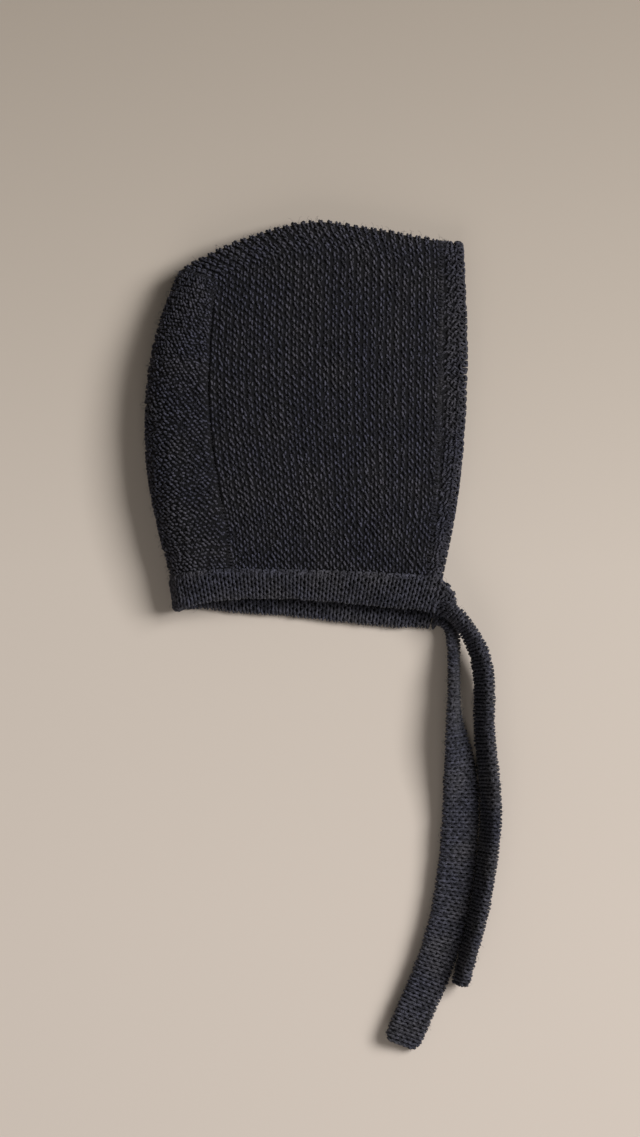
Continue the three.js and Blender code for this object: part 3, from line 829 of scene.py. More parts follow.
@dataclass(frozen=True)
class Wool:
    """A heathered wool yarn: dark fibres mixed with paler and bluer ones, twisted, with a soft sheen."""

    name: str
    dark: Colour
    pale: Colour
    sheen: float = 0.12
    relief: float = 0.6
    # Three noises, as broad as a few stitches, a stitch and a fibre: scale, detail, weight.
    grains: tuple[tuple[float, float, float], ...] = (
        (55.0, 2.0, 0.12),
        (520.0, 1.0, 0.4),
        (2100.0, 2.0, 0.48),
    )
    heather: tuple[float, float] = (0.42, 0.66)
    # The broad noise also tints the wool, from a little bluer to a little warmer.
    drift: Stops = ((0.36, (0.92, 0.93, 1.0)), (0.62, (1.0, 0.96, 0.86)))
    twist: float = 420.0  # turns in a metre of yarn
    plies: int = 3
    ply_relief: float = 0.35
    fibre_relief: float = 1.6

    def material(self) -> bpy.types.Material:
        """Builds the material.

        The colour goes from dark to pale with the weighted sum of the three noises, times the tint that
        drifts with the broadest. The relief is a sine that goes round once for each ply, over the way
        round the yarn plus the turns along it, with the finest noise on it.

        Returns:
            The material.
        """
        made = bpy.data.materials.new(self.name)
        made.use_nodes = True
        tree = made.node_tree
        tree.nodes.clear()

        def node(kind: str, **values: object) -> bpy.types.Node:
            """A new node with its properties set."""
            new = tree.nodes.new(kind)
            for key, value in values.items():
                setattr(new, key, value)
            return new

        def math(operation: str, *values: object) -> bpy.types.NodeSocket:
            """What an operation makes of sockets or numbers."""
            new = node("ShaderNodeMath", operation=operation)
            for socket, value in zip(new.inputs, values):
                if isinstance(value, bpy.types.NodeSocket):
                    tree.links.new(value, socket)
                else:
                    socket.default_value = value
            return new.outputs[0]

        place = node("ShaderNodeTexCoord").outputs["Object"]
        noises, mix = [], 0.0
        for scale, detail, weight in self.grains:
            noise = node("ShaderNodeTexNoise")
            noise.inputs["Scale"].default_value = scale
            noise.inputs["Detail"].default_value = detail
            tree.links.new(place, noise.inputs["Vector"])
            noises.append(noise.outputs["Fac"])
            mix = math("MULTIPLY_ADD", noises[-1], weight, mix)
        low, high = self.heather
        tint = node("ShaderNodeMix", data_type="RGBA", blend_type="MULTIPLY")
        tint.inputs[0].default_value = 1.0
        tree.links.new(colour_ramp(tree, ((low, self.dark), (high, self.pale)), mix), tint.inputs[6])
        tree.links.new(colour_ramp(tree, self.drift, noises[0]), tint.inputs[7])

        parts = node("ShaderNodeSeparateXYZ")
        tree.links.new(node("ShaderNodeUVMap", uv_map="Yarn").outputs["UV"], parts.inputs[0])
        turns = math("MULTIPLY_ADD", parts.outputs[0], self.twist, parts.outputs[1])
        ply = math("MULTIPLY", math("SINE", math("MULTIPLY", turns, self.plies * TURN)), self.ply_relief)
        bump = node("ShaderNodeBump")
        bump.inputs["Strength"].default_value = self.relief
        bump.inputs["Distance"].default_value = 0.0002
        height = math("MULTIPLY_ADD", noises[-1], self.fibre_relief, ply)
        tree.links.new(height, bump.inputs["Height"])

        shader = node("ShaderNodeBsdfPrincipled")
        for name, value in (
            ("Roughness", 0.92),
            ("Specular IOR Level", 0.25),
            ("Sheen Weight", self.sheen),
            ("Sheen Roughness", 0.45),
            ("Sheen Tint", (0.75, 0.78, 0.9, 1)),
        ):
            shader.inputs[name].default_value = value
        tree.links.new(tint.outputs[2], shader.inputs["Base Color"])
        tree.links.new(bump.outputs["Normal"], shader.inputs["Normal"])
        output = node("ShaderNodeOutputMaterial")
        tree.links.new(shader.outputs[0], output.inputs["Surface"])
        return made


GARTER_WOOL = Wool("garter_wool", dark=(0.0073, 0.0074, 0.0107), pale=(0.091, 0.092, 0.130))
HEM_WOOL = Wool("hem_wool", dark=(0.008, 0.008, 0.0112), pale=(0.082, 0.082, 0.112))
BAND_WOOL = Wool("band_wool", dark=(0.008, 0.008, 0.0112), pale=(0.090, 0.091, 0.121))
# painted shade: the seams' whipping is darker than the hood, standing in for the shade in the seams'
# grooves
SEAM_SHADE_WOOL = Wool("seam_shade_wool", dark=(0.004, 0.004, 0.0055), pale=(0.034, 0.034, 0.045), sheen=0.05)
FUZZ_WOOL = Wool("fuzz_wool", dark=(0.025, 0.025, 0.032), pale=(0.16, 0.16, 0.19))
# painted shade: a near-black wool for the backing cloth, standing in for the shade in the gaps between
# the stitches
CORE_SHADE_WOOL = Wool("core_shade_wool", dark=(0.002, 0.002, 0.0032), pale=(0.0065, 0.0067, 0.0105), sheen=0.0)


def finished(skein: Skein, name: str, wool: bpy.types.Material) -> bpy.types.Object:
    """Turns a skein into a piece of the bonnet in its wool.

    Args:
        skein: The tubes.
        name: The piece's name.
        wool: Its material.

    Returns:
        The piece, riding on the part.
    """
    piece = skein.mesh(name)
    piece.data.materials.append(wool)
    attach(piece, "root")
    log.info("%s: %d faces", name, len(piece.data.polygons))
    return piece


def backing(patch: Patch, low: float, high: float, rows: int, columns: int) -> Array:
    """The thin cloth inside the stitches: the sheet's grid twice, closed at its edges, as one ring tube.

    Args:
        patch: The sheet.
        low: How deep its inner face lies, and
        high: how deep its outer face lies.
        rows: Points across, and
        columns: points along.

    Returns:
        One tube's rings, each ring out along one face and back along the other.
    """
    u, v = np.meshgrid(np.linspace(0, 1, rows), np.linspace(0, 1, columns), indexing="ij")
    point, normal, _, _ = patch.at(u, v)
    ring = np.concatenate([point - normal * high, (point - normal * low)[::-1]], 0)
    return ring.transpose(1, 0, 2)[None]


def cloth(node: str, sheet: Array, core: bpy.types.Material) -> bpy.types.Object:
    """The cloth piece inside a node's stitches, which stands for the node. Its dark wool is painted
    shade for the gaps between the stitches.

    Args:
        node: The node's name.
        sheet: The cloth's rings.
        core: The darker wool inside the stitches, painted shade for the gaps between them.

    Returns:
        The piece.
    """
    skein = Skein()
    skein.add(sheet)
    piece = finished(skein, f"{node}_cloth", core)
    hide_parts(node)
    return piece


# ------------------------------------------------------------------------------------- sub-assemblies
@dataclass
class Hood:
    """The hood: a strip of garter stitch whose ridges run up, over the crown and down again.

    Its seams with the panel and with the hem are whipped over in a darker wool, painted shade for the
    grooves of the seams.
    """

    ridges: int = 30
    stitches: int = 51
    rows: int = 121
    steps: int = 130
    seam_rows: int = 13
    seam_reach: float = 3.0  # how wide a seam's strip is to each side of it
    seam_spacing: float = 2.6
    seam_pull: float = 3.0  # how wide a strip the seam at the back draws down,
    groove_pull: float = 2.5  # and the seam with the hem,
    end_pull: float = 2.0  # and the neck's ends
    ridge_reach: float = 0.997  # the share of the hood that the ridges take up
    stitch: Garter = Garter()
    whip: Stocking = Stocking(
        yarn=0.42, loop=0.5, bulge=0.12, crest=-0.95, depth=0.45, wander=0.4
    )
    patch: Patch = field(init=False)
    rear_seam: Patch = field(init=False)
    front_seam: Patch = field(init=False)

    def __post_init__(self) -> None:
        """Lays out its sheets."""
        self.patch, self.rear_seam, self.front_seam = self.sheets()

    def sheets(self) -> tuple[Patch, Patch, Patch]:
        """The blend of its four edges: the two side lines, the neck and the crown, less the corners'.

        Returns:
            The hood, and the narrow strips along its seam with the panel and its seam with the hem.
        """
        p = PILLOW
        corner = p.fold.share_of_row(FOLD_CORNER_ROW)
        groove = p.fold.share_of_row(FOLD_GROOVE_ROW)
        seam_top, fold_top = p.back_seam.at(1.0), p.fold.at(corner)
        border = float(np.linalg.norm(seam_top - fold_top))
        whole = p.back_seam.length + border
        split = p.back_seam.length / whole
        front = p.band_top.share_at_x(float(p.hem_groove.at(0.0)[0]))
        rear = p.band_top.share_at_x(float(p.back_seam.at(0.0)[0]))

        def back(t: Array) -> Array:
            """The back edge: the seam, and then straight across to the fold's corner."""
            upper = lerp(seam_top, fold_top, ((t - split) / (1 - split))[..., None])
            return np.where((t < split)[..., None], p.back_seam.at(t / split), upper)

        ends = [p.hem_groove.at(0.0), p.back_seam.at(0.0), p.hem_groove.at(1.0), fold_top]

        def where(u: Array, share: Array, side: int) -> Array:
            """The blended place."""
            u = u + 0 * share
            a, b = u[..., None], share[..., None]
            across = lerp(p.hem_groove.at(share), back(share), a)
            up = lerp(p.band_top.at(lerp(front, rear, u)), p.fold.at(lerp(groove, corner, u)), b)
            flat = lerp(lerp(ends[0], ends[1], a), lerp(ends[2], ends[3], a), b)
            return p.slid(across + up - flat, side)

        def sheet(low: float, high: float, rows: int) -> Patch:
            """The part of the blend between two places across it."""
            u = np.linspace(low, high, rows)
            onto = p.fold.at(lerp(groove, corner, np.clip(u, 0, 1)))
            bends = bends_of(lerp(p.hem_groove.length, whole, u), onto)
            return over_fold(where, u, bends, self.steps)

        gap, reach = SEAM_GAP / HOOD_SPAN, self.seam_reach / HOOD_SPAN
        return (
            sheet(gap, 1 - SEAM_SLANT * gap, self.rows),
            sheet(1 - reach, 1 + reach, self.seam_rows),
            sheet(-reach, reach, self.seam_rows),
        )

    @staticmethod
    def drawn(v: Array) -> Array:
        """How tightly the seam with the panel is drawn in: most between the neck and the crown."""
        way = 1 - np.abs(2 * v - 1)
        return smooth((way - 0.05) / 0.25) * (1 - smooth((way - 0.74) / 0.12))

    def build(
        self, wool: bpy.types.Material, seam_shade_wool: bpy.types.Material, core: bpy.types.Material
    ) -> list[bpy.types.Object]:
        """Makes the backing cloth, the stitches of both walls, and the seams.

        Args:
            wool: The hood's wool.
            seam_shade_wool: The wool of the seams, darkened as painted shade for their grooves.
            core: The darker wool inside the stitches, painted shade for the gaps between them.

        Returns:
            The backing, the stitches of the near and of the far wall, and the seams.
        """
        sheet = backing(self.patch, low=1.5, high=1.12, rows=60, columns=150)
        pieces = [cloth("hood", sheet, core)]
        ridges = (np.arange(self.ridges) + 0.5) / self.ridges * self.ridge_reach

        def sink(u: Array, v: Array) -> Array:
            """Draws the edges down into the seams at the back and at the hem, and the neck's ends."""
            seam = 1 - smooth((1 - u) * HOOD_SPAN / self.seam_pull)
            seam = seam * (0.3 + 0.7 * self.drawn(v))
            groove = 1 - smooth(u * HOOD_SPAN / self.groove_pull)
            ends = 1 - smooth(np.minimum(v, 1 - v) * HOOD_RUN / self.end_pull)
            return seam + 0.5 * groove + 0.4 * ends

        def drawn_in(u: Array, v: Array) -> Array:
            """Sinks the whipping where the seam is drawn tight."""
            return 0.25 + 1.1 * self.drawn(v)

        for side in Side:
            skein = Skein()
            skein.add(
                self.stitch.knit(
                    self.patch, ridges, side.span, self.stitches, seed=11 + side.value, sink=sink
                )
            )
            name = f"hood_stitches_{side.name.lower()}"
            pieces.append(finished(skein, name, wool))
        seams = Skein()
        for strip, low in ((self.rear_seam, drawn_in), (self.front_seam, None)):
            for start in (0.0, 0.5 / self.stitches):
                seams.add(
                    self.whip.knit(
                        strip,
                        np.array([0.46, 0.54]),
                        self.seam_spacing,
                        (start, 1.0),
                        2 * self.stitches,
                        seed=71,
                        sink=low,
                    )
                )
        pieces.append(finished(seams, "hood_seams", seam_shade_wool))
        return pieces


@dataclass
class BackPanel:
    """The gusset down the back of the head: garter stitch whose ridges run from seam to seam."""

    ridges: int = 43
    stitches: int = 17
    rows: int = 150
    steps: int = 50
    lean: float = 0.085
    seam_pull: float = 3.0
    end_pull: float = 2.0
    span: tuple[float, float] = (0.009, 0.991)
    stitch: Garter = Garter(bump=0.72, slant=0.2, back=2.1, yarn=0.5, wander=0.27, arch=0.15)
    patch: Patch = field(init=False)

    def __post_init__(self) -> None:
        """Lays out its sheet."""
        self.patch = self.sheet()

    def sheet(self) -> Patch:
        """Lines from the seam to the fold, bowed near the neck as the band's top is."""
        p = PILLOW
        top, neck = p.fold.share_of_row(FOLD_CORNER_ROW), p.fold.share_of_row(FOLD_NECK_ROW)
        neck_seam = p.band_top.share_at_x(float(p.back_seam.at(0.0)[0]))

        def where(b: Array, share: Array, side: int) -> Array:
            """The place a share of the way from the seam to the fold, at b of the way up."""
            outer, inner = p.fold.at(lerp(neck, top, b)), p.back_seam.at(b)
            width = np.linalg.norm(outer - inner, axis=-1)
            across = lerp(SEAM_GAP / width, 1, share)
            place = lerp(inner, outer, across[..., None])
            bow = p.band_top.at(neck_seam * (1 - across))[..., 1]
            chord = lerp(p.back_seam.at(0.0), np.array(BAND_TOP[0]), across[..., None])[..., 1]
            place[..., 1] += (bow - chord) * (1 - b)
            return p.slid(place, side)

        edge = SEAM_GAP / p.back_seam.length
        b = np.linspace(edge, 1 - edge, self.rows)
        outer = p.fold.at(lerp(neck, top, b))
        widths = np.linalg.norm(outer - p.back_seam.at(b), axis=-1)
        return over_fold(where, b, bends_of(widths, outer), self.steps)

    def build(
        self, wool: bpy.types.Material, core: bpy.types.Material
    ) -> list[bpy.types.Object]:
        """Makes the backing cloth and the stitches.

        Args:
            wool: The panel's wool.
            core: The darker wool inside the stitches, painted shade for the gaps between them.

        Returns:
            The backing and the stitches.
        """
        sheet = backing(self.patch, low=1.25, high=0.88, rows=80, columns=60)
        pieces = [cloth("back_panel", sheet, core)]
        ridges = (np.arange(self.ridges) + 0.5) / self.ridges

        def lean(u: Array, v: Array) -> Array:
            """Slopes the ridges up to the seam, most in the lower half and not at the ends."""
            share = 1 - np.abs(2 * v - 1)
            steep = smooth(u / 0.25) * (1 - smooth((u - 0.45) / 0.5))
            return u + self.lean * steep * (0.5 - share)

        def sink(u: Array, v: Array) -> Array:
            """Draws the ends down into the seams."""
            seam = 1 - smooth(np.minimum(v, 1 - v) * PANEL_RUN / self.seam_pull)
            ends = 1 - smooth(np.minimum(u, 1 - u) * PANEL_SPAN / self.end_pull)
            return 0.8 * seam + 0.4 * ends

        skein = Skein()
        skein.add(
            self.stitch.knit(
                self.patch, ridges, self.span, 2 * self.stitches, seed=23, lean=lean, sink=sink
            )
        )
        pieces.append(finished(skein, "back_panel_stitches", wool))
        return pieces


@dataclass
class FrontHem:
    """The doubled hem round the face opening: ridges along its face and its edge, and a looped rim."""

    stitches: int = 51
    loop_count: int = 48
    rows: int = 25
    steps: int = 130
    ridge: Garter = Garter(bump=0.85, back=1.2, yarn=0.5, depth=1.6, wander=0.3, slant=0.3)
    loops: Stocking = Stocking(yarn=0.52, loop=1.0, bulge=0.24, depth=0.25, wander=0.34)
    face_ridges: tuple[float, ...] = (0.12, 0.36, 0.6)
    edge_ridges: tuple[float, ...] = (0.72, 0.9)
    # The looped rim, from the top down: depth, place across, swing, and where each row starts.
    rim: tuple[tuple[float, float, float, float], ...] = (
        (0.4, 0.83, 1.6, 0.0),
        (1.5, 0.87, 1.7, 0.0),
        (2.6, 0.87, 1.7, 0.0006),
        (3.6, 0.82, 1.7, 0.0006),
    )
    face: Patch = field(init=False)
    patch: Patch = field(init=False)

    def __post_init__(self) -> None:
        """Lays out its face, and the skin that its edge ridges lie on."""
        self.face = self.sheet()
        self.patch = sleeved(self.face, STRIP_WALL, inset=0.5, rows=60, edge=0.8)

    def sheet(self) -> Patch:
        """Lines from the neck up to the fold, between the groove and the face edge."""
        p = PILLOW
        top = p.hem_groove.at(np.array([1.0]))
        bend = bends_of(np.array([p.hem_groove.length]), top)

        def where(c: Array, share: Array, side: int) -> Array:
            """The place across the hem at c, a share of the way up."""
            up = lerp(SEAM_GAP / p.hem_groove.length, 1, share) + 0 * c
            groove, edge = p.hem_groove.at(up), p.face_edge.at(up)
            width = np.linalg.norm(edge - groove, axis=-1)
            place = lerp(groove, edge, lerp(SEAM_GAP / width, 1, c)[..., None])
            return p.slid(place, side)

        c = np.linspace(0, 1, self.rows)
        return over_fold(where, c, np.repeat(bend, self.rows), self.steps, STRIP_RISE)

    def build(
        self, wool: bpy.types.Material, core: bpy.types.Material
    ) -> list[bpy.types.Object]:
        """Makes the hem's core and its stitches.

        Args:
            wool: The hem's wool.
            core: The darker wool inside the stitches, painted shade for the gaps between them.

        Returns:
            The core and the stitches.
        """
        inner = sleeved(self.face, STRIP_WALL, inset=1.7, rows=24, edge=0.75)
        sheet = backing(inner, low=0.5, high=0.0, rows=24, columns=self.steps)
        pieces = [cloth("front_hem", sheet, core)]

        def hollow(u: Array, v: Array) -> Array:
            """Draws the inner ridge down into the groove, more in some places than in others."""
            wave = 1 + 0.45 * np.sin(TURN * (17 * v + 0.3)) * np.sin(TURN * (29 * v + 0.1))
            return 1.15 * (1 - smooth((u - 0.12) / 0.25)) * wave

        skein = Skein()
        for side in Side:
            for skin, places, sink in (
                (self.face, self.face_ridges, hollow),
                (self.patch, self.edge_ridges, None),
            ):
                ridges = np.array(places)
                skein.add(
                    self.ridge.knit(skin, ridges, side.span, self.stitches, seed=31, sink=sink)
                )
        for depth, place, swing, start in self.rim:
            skein.add(
                self.loops.knit(
                    self.face,
                    np.array([place]),
                    swing,
                    (start, 1.0),
                    2 * self.loop_count,
                    seed=37,
                    sink=lambda u, v, depth=depth: depth,
                )
            )
        pieces.append(finished(skein, "front_hem_stitches", wool))
        return pieces


@dataclass
class NeckBand:
    """The doubled band round the neck, in stocking stitch, folded at its foot."""

    wales: int = 37
    courses: int = 12
    rows: int = 25
    steps: int = 110
    spacing: float = 3.0
    stitch: Stocking = Stocking(yarn=0.52, loop=0.8, bulge=0.22, depth=0.5, wander=0.3)
    pick_up: Garter = Garter(bump=0.55, back=0.6, yarn=0.5, depth=1.0, slant=0.3, wander=0.3)
    pick_up_places: tuple[float, float] = (0.02, 0.98)
    face: Patch = field(init=False)
    patch: Patch = field(init=False)

    def __post_init__(self) -> None:
        """Lays out its face, and the skin that its stitches lie on."""
        self.face = self.sheet()
        self.patch = sleeved(self.face, STRIP_WALL, inset=0.6, rows=90)

    def sheet(self) -> Patch:
        """Lines from the face opening back to the fold, between the band's top and its foot."""
        p = PILLOW
        fold_top, fold_foot = p.band_top.at(0.0), p.band_foot.at(0.0)
        neck = p.fold.share_of_row(FOLD_NECK_ROW)
        middle = np.array([[fold_top[0], (fold_top[1] + fold_foot[1]) / 2]])
        bend = bends_of(np.array([p.band_top.length]), middle)

        def where(c: Array, share: Array, side: int) -> Array:
            """The place across the band at c, eased onto the fold over the last stretch."""
            share, c = share + 0 * c, (c + 0 * share)[..., None]
            top, foot = p.band_top.at(1 - share), p.band_foot.at(1 - share)
            on_fold = p.fold.at(lerp(neck, 1, c[..., 0]))
            snug = smooth((share - 1 + BAND_SNUG) / BAND_SNUG)[..., None]
            near = lerp(top, foot, c) + (on_fold - lerp(fold_top, fold_foot, c)) * snug
            if side > 0:
                return near
            lower_top = p.slid(top, side)
            lower_foot = np.stack([foot[..., 0], lower_top[..., 1] - BAND_WIDTH], -1)
            return lerp(lerp(lower_top, lower_foot, c), p.slid(near, side), snug)

        c = np.linspace(SEAM_GAP / BAND_WIDTH, 1, self.rows)
        return over_fold(where, c, np.repeat(bend, self.rows), self.steps, STRIP_RISE)

    def build(
        self, wool: bpy.types.Material, core: bpy.types.Material
    ) -> list[bpy.types.Object]:
        """Makes the band's core and its stitches.

        Args:
            wool: The band's wool.
            core: The darker wool inside the stitches, painted shade for the gaps between them.

        Returns:
            The core and the stitches.
        """
        inner = sleeved(self.face, STRIP_WALL, inset=1.4, rows=30)
        sheet = backing(inner, low=0.5, high=0.0, rows=30, columns=self.steps)
        pieces = [cloth("neck_band", sheet, core)]
        courses = (np.arange(self.courses) + 0.4) / self.courses

        def sink(u: Array, v: Array) -> Array:
            """Draws the top of the band's face down to the hood, unevenly."""
            top = 1 - smooth((u - 0.02) / 0.1)
            return 0.5 * top * (1 + 0.5 * np.sin(TURN * (13 * v + 0.2)) * np.sin(TURN * 31 * v))

        skein, places = Skein(), np.array(self.pick_up_places)
        span, wales = (0.0, 1.0), 2 * self.wales
        skein.add(
            self.stitch.knit(self.patch, courses, self.spacing, span, wales, seed=41, sink=sink)
        )
        skein.add(self.pick_up.knit(self.patch, places, span, wales, seed=43))
        pieces.append(finished(skein, "neck_band_stitches", wool))
        return pieces


@dataclass
class Tie:
    """A tie: a flat tape in stocking stitch, turned and gathered as its table says."""

    name: str
    rows: Rows
    wales: int
    seed: int
    courses: int = 12
    cuts: int = 30
    path_step: int = 4
    core_depth: float = 1.3
    yarn_depth: float = 0.45
    rounding: float = 3.0  # the stretch over which its far end rounds off
    fullness: float = 0.35  # how far its two edges are filled out
    stitch: Stocking = Stocking(yarn=0.54, loop=0.8, bulge=0.22, depth=0.5, wander=0.28)
    patch: Patch = field(init=False)

    def __post_init__(self) -> None:
        """Lays out its route, and the skin that its stitches lie on."""
        self.centre, self.across, self.half, self.length = self.route()
        self.patch = self.skin(self.yarn_depth, rows=120, lap=0.2)

    def route(self) -> tuple[Array, Array, Array, float]:
        """The middle line, the direction across the tape and its half width, a millimetre apart.

        The line is the centripetal Catmull-Rom cubic through the table's points.

        Returns:
            The points, the unit directions across, the half widths and the whole length.
        """
        x, y, lift, tilt, width = np.array(self.rows, float).T
        turn = np.radians(tilt)
        z = lift + width / 2 * np.abs(np.sin(turn)) + TIE_THICKNESS / 2 * np.cos(turn)
        p = np.stack([x, y, z], -1)
        p = np.concatenate([2 * p[:1] - p[1:2], p, 2 * p[-1:] - p[-2:-1]])
        gap = np.sqrt(np.linalg.norm(np.diff(p, axis=0), axis=1))[:, None]
        last = len(x) - 1
        key = np.linspace(0, last, last * self.cuts + 1)
        i = np.minimum(key.astype(int), last - 1)
        f = (key - i)[:, None]
        a, b, c, d = p[i], p[i + 1], p[i + 2], p[i + 3]
        g0, g1, g2 = gap[i], gap[i + 1], gap[i + 2]
        t1 = ((b - a) / g0 - (c - a) / (g0 + g1) + (c - b) / g1) * g1
        t2 = ((c - b) / g1 - (d - b) / (g1 + g2) + (d - c) / g2) * g1
        line = b + t1 * f + (3 * (c - b) - 2 * t1 - t2) * f**2 + (2 * (b - c) + t1 + t2) * f**3
        run = np.concatenate([[0], np.cumsum(np.linalg.norm(np.diff(line, axis=0), axis=1))])
        even = np.linspace(0, run[-1], int(run[-1]) + 1)
        key = np.interp(even, run, key)
        centre = np.stack([np.interp(even, run, line[:, axis]) for axis in range(3)], -1)
        ahead = np.gradient(centre, axis=0)
        ahead[:, 2] = 0
        ahead = unit(ahead)
        turn = np.radians(eased(np.arange(last + 1), tilt, key))[:, None]
        level = np.stack([-ahead[:, 1], ahead[:, 0], 0 * ahead[:, 0]], -1)
        across = level * np.cos(turn) + np.array([0, 0, 1.0]) * np.sin(turn)
        return centre, across, eased(np.arange(last + 1), width, key) / 2, float(run[-1])

    def skin(self, inset: float, rows: int, lap: float = 0.0) -> Patch:
        """The tape's skin: a flat section with two half-round edges, closed round its far end.

        Args:
            inset: How far inside the tape's surface it lies.
            rows: Points round the section.
            lap: How far round, as a share, it goes past its start and its end.

        Returns:
            The skin, with u once round the section.
        """
        ahead = unit(np.gradient(self.centre, axis=0))
        face = unit(np.cross(self.across, ahead))
        left = self.length * (1 - np.linspace(0, 1, len(self.centre)))
        blunt = np.sqrt(1 - np.clip(1 - (left + 0.5) / self.rounding, 0, 1) ** 2)
        radius = TIE_THICKNESS / 2 - inset
        flat = np.maximum(self.half * blunt - TIE_THICKNESS / 2 + self.fullness, 0.4)
        share = np.linspace(-lap, 1 + lap, rows)[:, None]
        whole = 4 * flat + TURN * radius
        run = (share * whole) % whole
        quarter = np.pi * radius
        first = np.clip(run - 2 * flat, 0, quarter)
        second = np.clip(run - 4 * flat - quarter, 0, quarter)
        angle = (first + second) / radius
        out = np.clip(run, 0, 2 * flat) - np.clip(run - 2 * flat - quarter, 0, 2 * flat) - flat
        normal = np.sin(angle)[..., None] * self.across + np.cos(angle)[..., None] * face
        point = self.centre + out[..., None] * self.across + radius * normal
        return Patch(point, unit(normal), (-lap, 1 + lap))

    def build(self, wool: bpy.types.Material) -> bpy.types.Object:
        """Makes the tape with its stitches as one piece.

        Args:
            wool: The tie's wool.

        Returns:
            The tie.
        """
        skein = Skein()
        core = self.skin(self.core_depth, rows=28)
        skein.add(core.grid[:-1, ::3, :3].transpose(1, 0, 2)[None])
        courses = (np.arange(self.courses) + 0.5) / self.courses
        skein.add(
            self.stitch.knit(self.patch, courses, None, (0.0, 0.995), self.wales, self.seed)
        )
        piece = finished(skein, f"{self.name}_tape", wool)
        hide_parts(self.name)
        every = self.path_step
        path = self.centre[::every] * METRES
        if len(self.centre) % every != 1:
            path = np.concatenate([path, self.centre[-1:] * METRES])
        log.info("%s: %.1f mm long", self.name, self.length)
        return piece


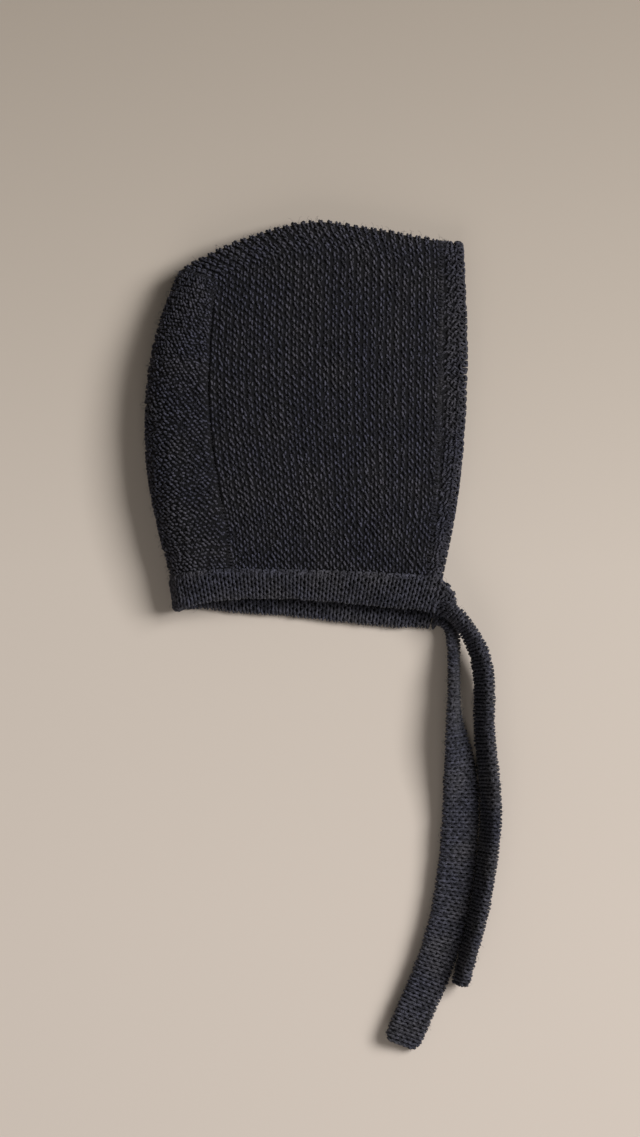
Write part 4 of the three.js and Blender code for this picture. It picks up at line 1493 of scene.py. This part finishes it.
# ----------------------------------------------------------------------------------------- the studio
@dataclass(frozen=True)
class Studio:
    """A pale floor with painted shade that darkens it past the crown, a large soft light from the face
    side, a weak fill, and a camera straight above.
    """

    middle: tuple[float, float] = (6.1, -65.0)
    distance: float = 2000.0
    long_side: float = 511.65
    sensor: float = 36.0
    target: tuple[float, float, float] = (0.0, -0.06, 0.0)
    floor_half: float = 6.0  # metres, as are the next two
    floor_height: float = -0.0003
    painted_falloff_span: tuple[float, float] = (-0.34, 0.22)
    # The floor's colour along the falloff span: painted shade, palest at the ties' end of it and darkest
    # past the crown, standing in for the light's falloff.
    floor_painted_falloff: Stops = (
        (0.0, (0.60, 0.535, 0.48)),
        (0.22, (0.585, 0.52, 0.465)),
        (0.49, (0.545, 0.485, 0.43)),
        (0.7, (0.455, 0.402, 0.35)),
        (0.95, (0.355, 0.31, 0.265)),
    )

    def camera(self) -> None:
        """A camera that looks straight down, with the lens that takes in the long side."""
        data = bpy.data.cameras.new("camera")
        data.sensor_width = self.sensor
        data.lens = self.sensor * self.distance / self.long_side
        data.clip_end = 20
        made = bpy.data.objects.new("camera", data)
        made.location = Vector((*self.middle, self.distance)) * METRES
        bpy.context.scene.collection.objects.link(made)
        bpy.context.scene.camera = made

    def floor(self) -> None:
        """A broad flat floor just under the part, in a pale warm grey with painted shade that darkens it
        past the crown.
        """
        mesh = bpy.data.meshes.new("floor")
        half, z = self.floor_half, self.floor_height
        corners = [(-half, -half, z), (half, -half, z), (half, half, z), (-half, half, z)]
        mesh.from_pydata(corners, [], [(0, 1, 2, 3)])
        made = bpy.data.objects.new("floor", mesh)
        bpy.context.scene.collection.objects.link(made)
        paint = bpy.data.materials.new("floor_painted_shade")
        paint.use_nodes = True
        tree = paint.node_tree
        shader = tree.nodes["Principled BSDF"]
        where = tree.nodes.new("ShaderNodeTexCoord")
        parts = tree.nodes.new("ShaderNodeSeparateXYZ")
        tree.links.new(where.outputs["Object"], parts.inputs[0])
        span = tree.nodes.new("ShaderNodeMapRange")
        span.inputs["From Min"].default_value, span.inputs["From Max"].default_value = self.painted_falloff_span
        tree.links.new(parts.outputs["Y"], span.inputs["Value"])
        # painted shade: the floor's colour darkens with y past the crown, standing in for the light's
        # falloff
        tint = colour_ramp(tree, self.floor_painted_falloff, span.outputs["Result"])
        tree.links.new(tint, shader.inputs["Base Color"])
        shader.inputs["Roughness"].default_value = 0.8
        shader.inputs["Specular IOR Level"].default_value = 0.2
        mesh.materials.append(paint)

    def light(
        self, name: str, place: tuple[float, float, float], size: float, power: float, tint: Colour
    ) -> None:
        """A square soft light at a place, turned to the middle of the part.

        Args:
            name: Its name.
            place: Where it is, in metres.
            size: Its side, in metres.
            power: Its power in watts.
            tint: Its colour.
        """
        data = bpy.data.lights.new(name, "AREA")
        data.shape = "SQUARE"
        data.size = size
        data.energy = power
        data.color = tint
        made = bpy.data.objects.new(name, data)
        made.location = place
        made.rotation_mode = "QUATERNION"
        toward = Vector(self.target) - Vector(place)
        made.rotation_quaternion = toward.to_track_quat("-Z", "Y")
        bpy.context.scene.collection.objects.link(made)

    def build(self) -> None:
        """Sets up everything that isn't the bonnet."""
        self.camera()
        self.floor()
        self.light("key", (2.0, 0.62, 2.25), size=1.45, power=112, tint=(1, 0.985, 0.965))
        self.light("fill", (-0.3, -2.0, 1.8), size=1.6, power=12, tint=(1, 0.95, 0.9))
        world = bpy.data.worlds.new("studio")
        world.use_nodes = True
        background = world.node_tree.nodes["Background"]
        background.inputs["Color"].default_value = (1.0, 0.94, 0.87, 1)
        background.inputs["Strength"].default_value = 0.15
        bpy.context.scene.world = world
        bpy.context.scene.view_settings.view_transform = "Standard"


def main() -> None:
    """Builds the studio and the bonnet, piece by piece."""
    logging.basicConfig(level=logging.INFO, format="%(name)s: %(message)s")
    Studio().build()
    # core is painted shade: the near-black wool of the backing cloths, for the gaps between the stitches
    # seam is painted shade: the darker wool of the seams' whipping, for the shade in their grooves
    garter, hem, band, seam, core, fluff = (
        wool.material()
        for wool in (GARTER_WOOL, HEM_WOOL, BAND_WOOL, SEAM_SHADE_WOOL, CORE_SHADE_WOOL, FUZZ_WOOL)
    )
    ties = [
        Tie("tie_near", TIE_NEAR, wales=56, seed=51),
        Tie("tie_far", TIE_FAR, wales=60, seed=53),
    ]
    for tie in ties:
        tie.build(band)
    hood, panel, front, neck = Hood(), BackPanel(), FrontHem(), NeckBand()
    hood_pieces = hood.build(garter, seam, core)
    panel_pieces = panel.build(garter, core)
    front_pieces = front.build(hem, core)
    neck_pieces = neck.build(band, core)
    fuzz = Skein()
    for patch, count, seed in (
        (hood.patch, 2000, 61), (panel.patch, 700, 62), (front.patch, 500, 63), (neck.patch, 700, 64),
        (ties[0].patch, 600, 65), (ties[1].patch, 650, 66),
    ):  # fmt: skip
        fuzz.add(fibres(patch, count, HAIR_REACH, seed))
    finished(fuzz, "loose_fibres", fluff)


if __name__ == "__main__":
    main()
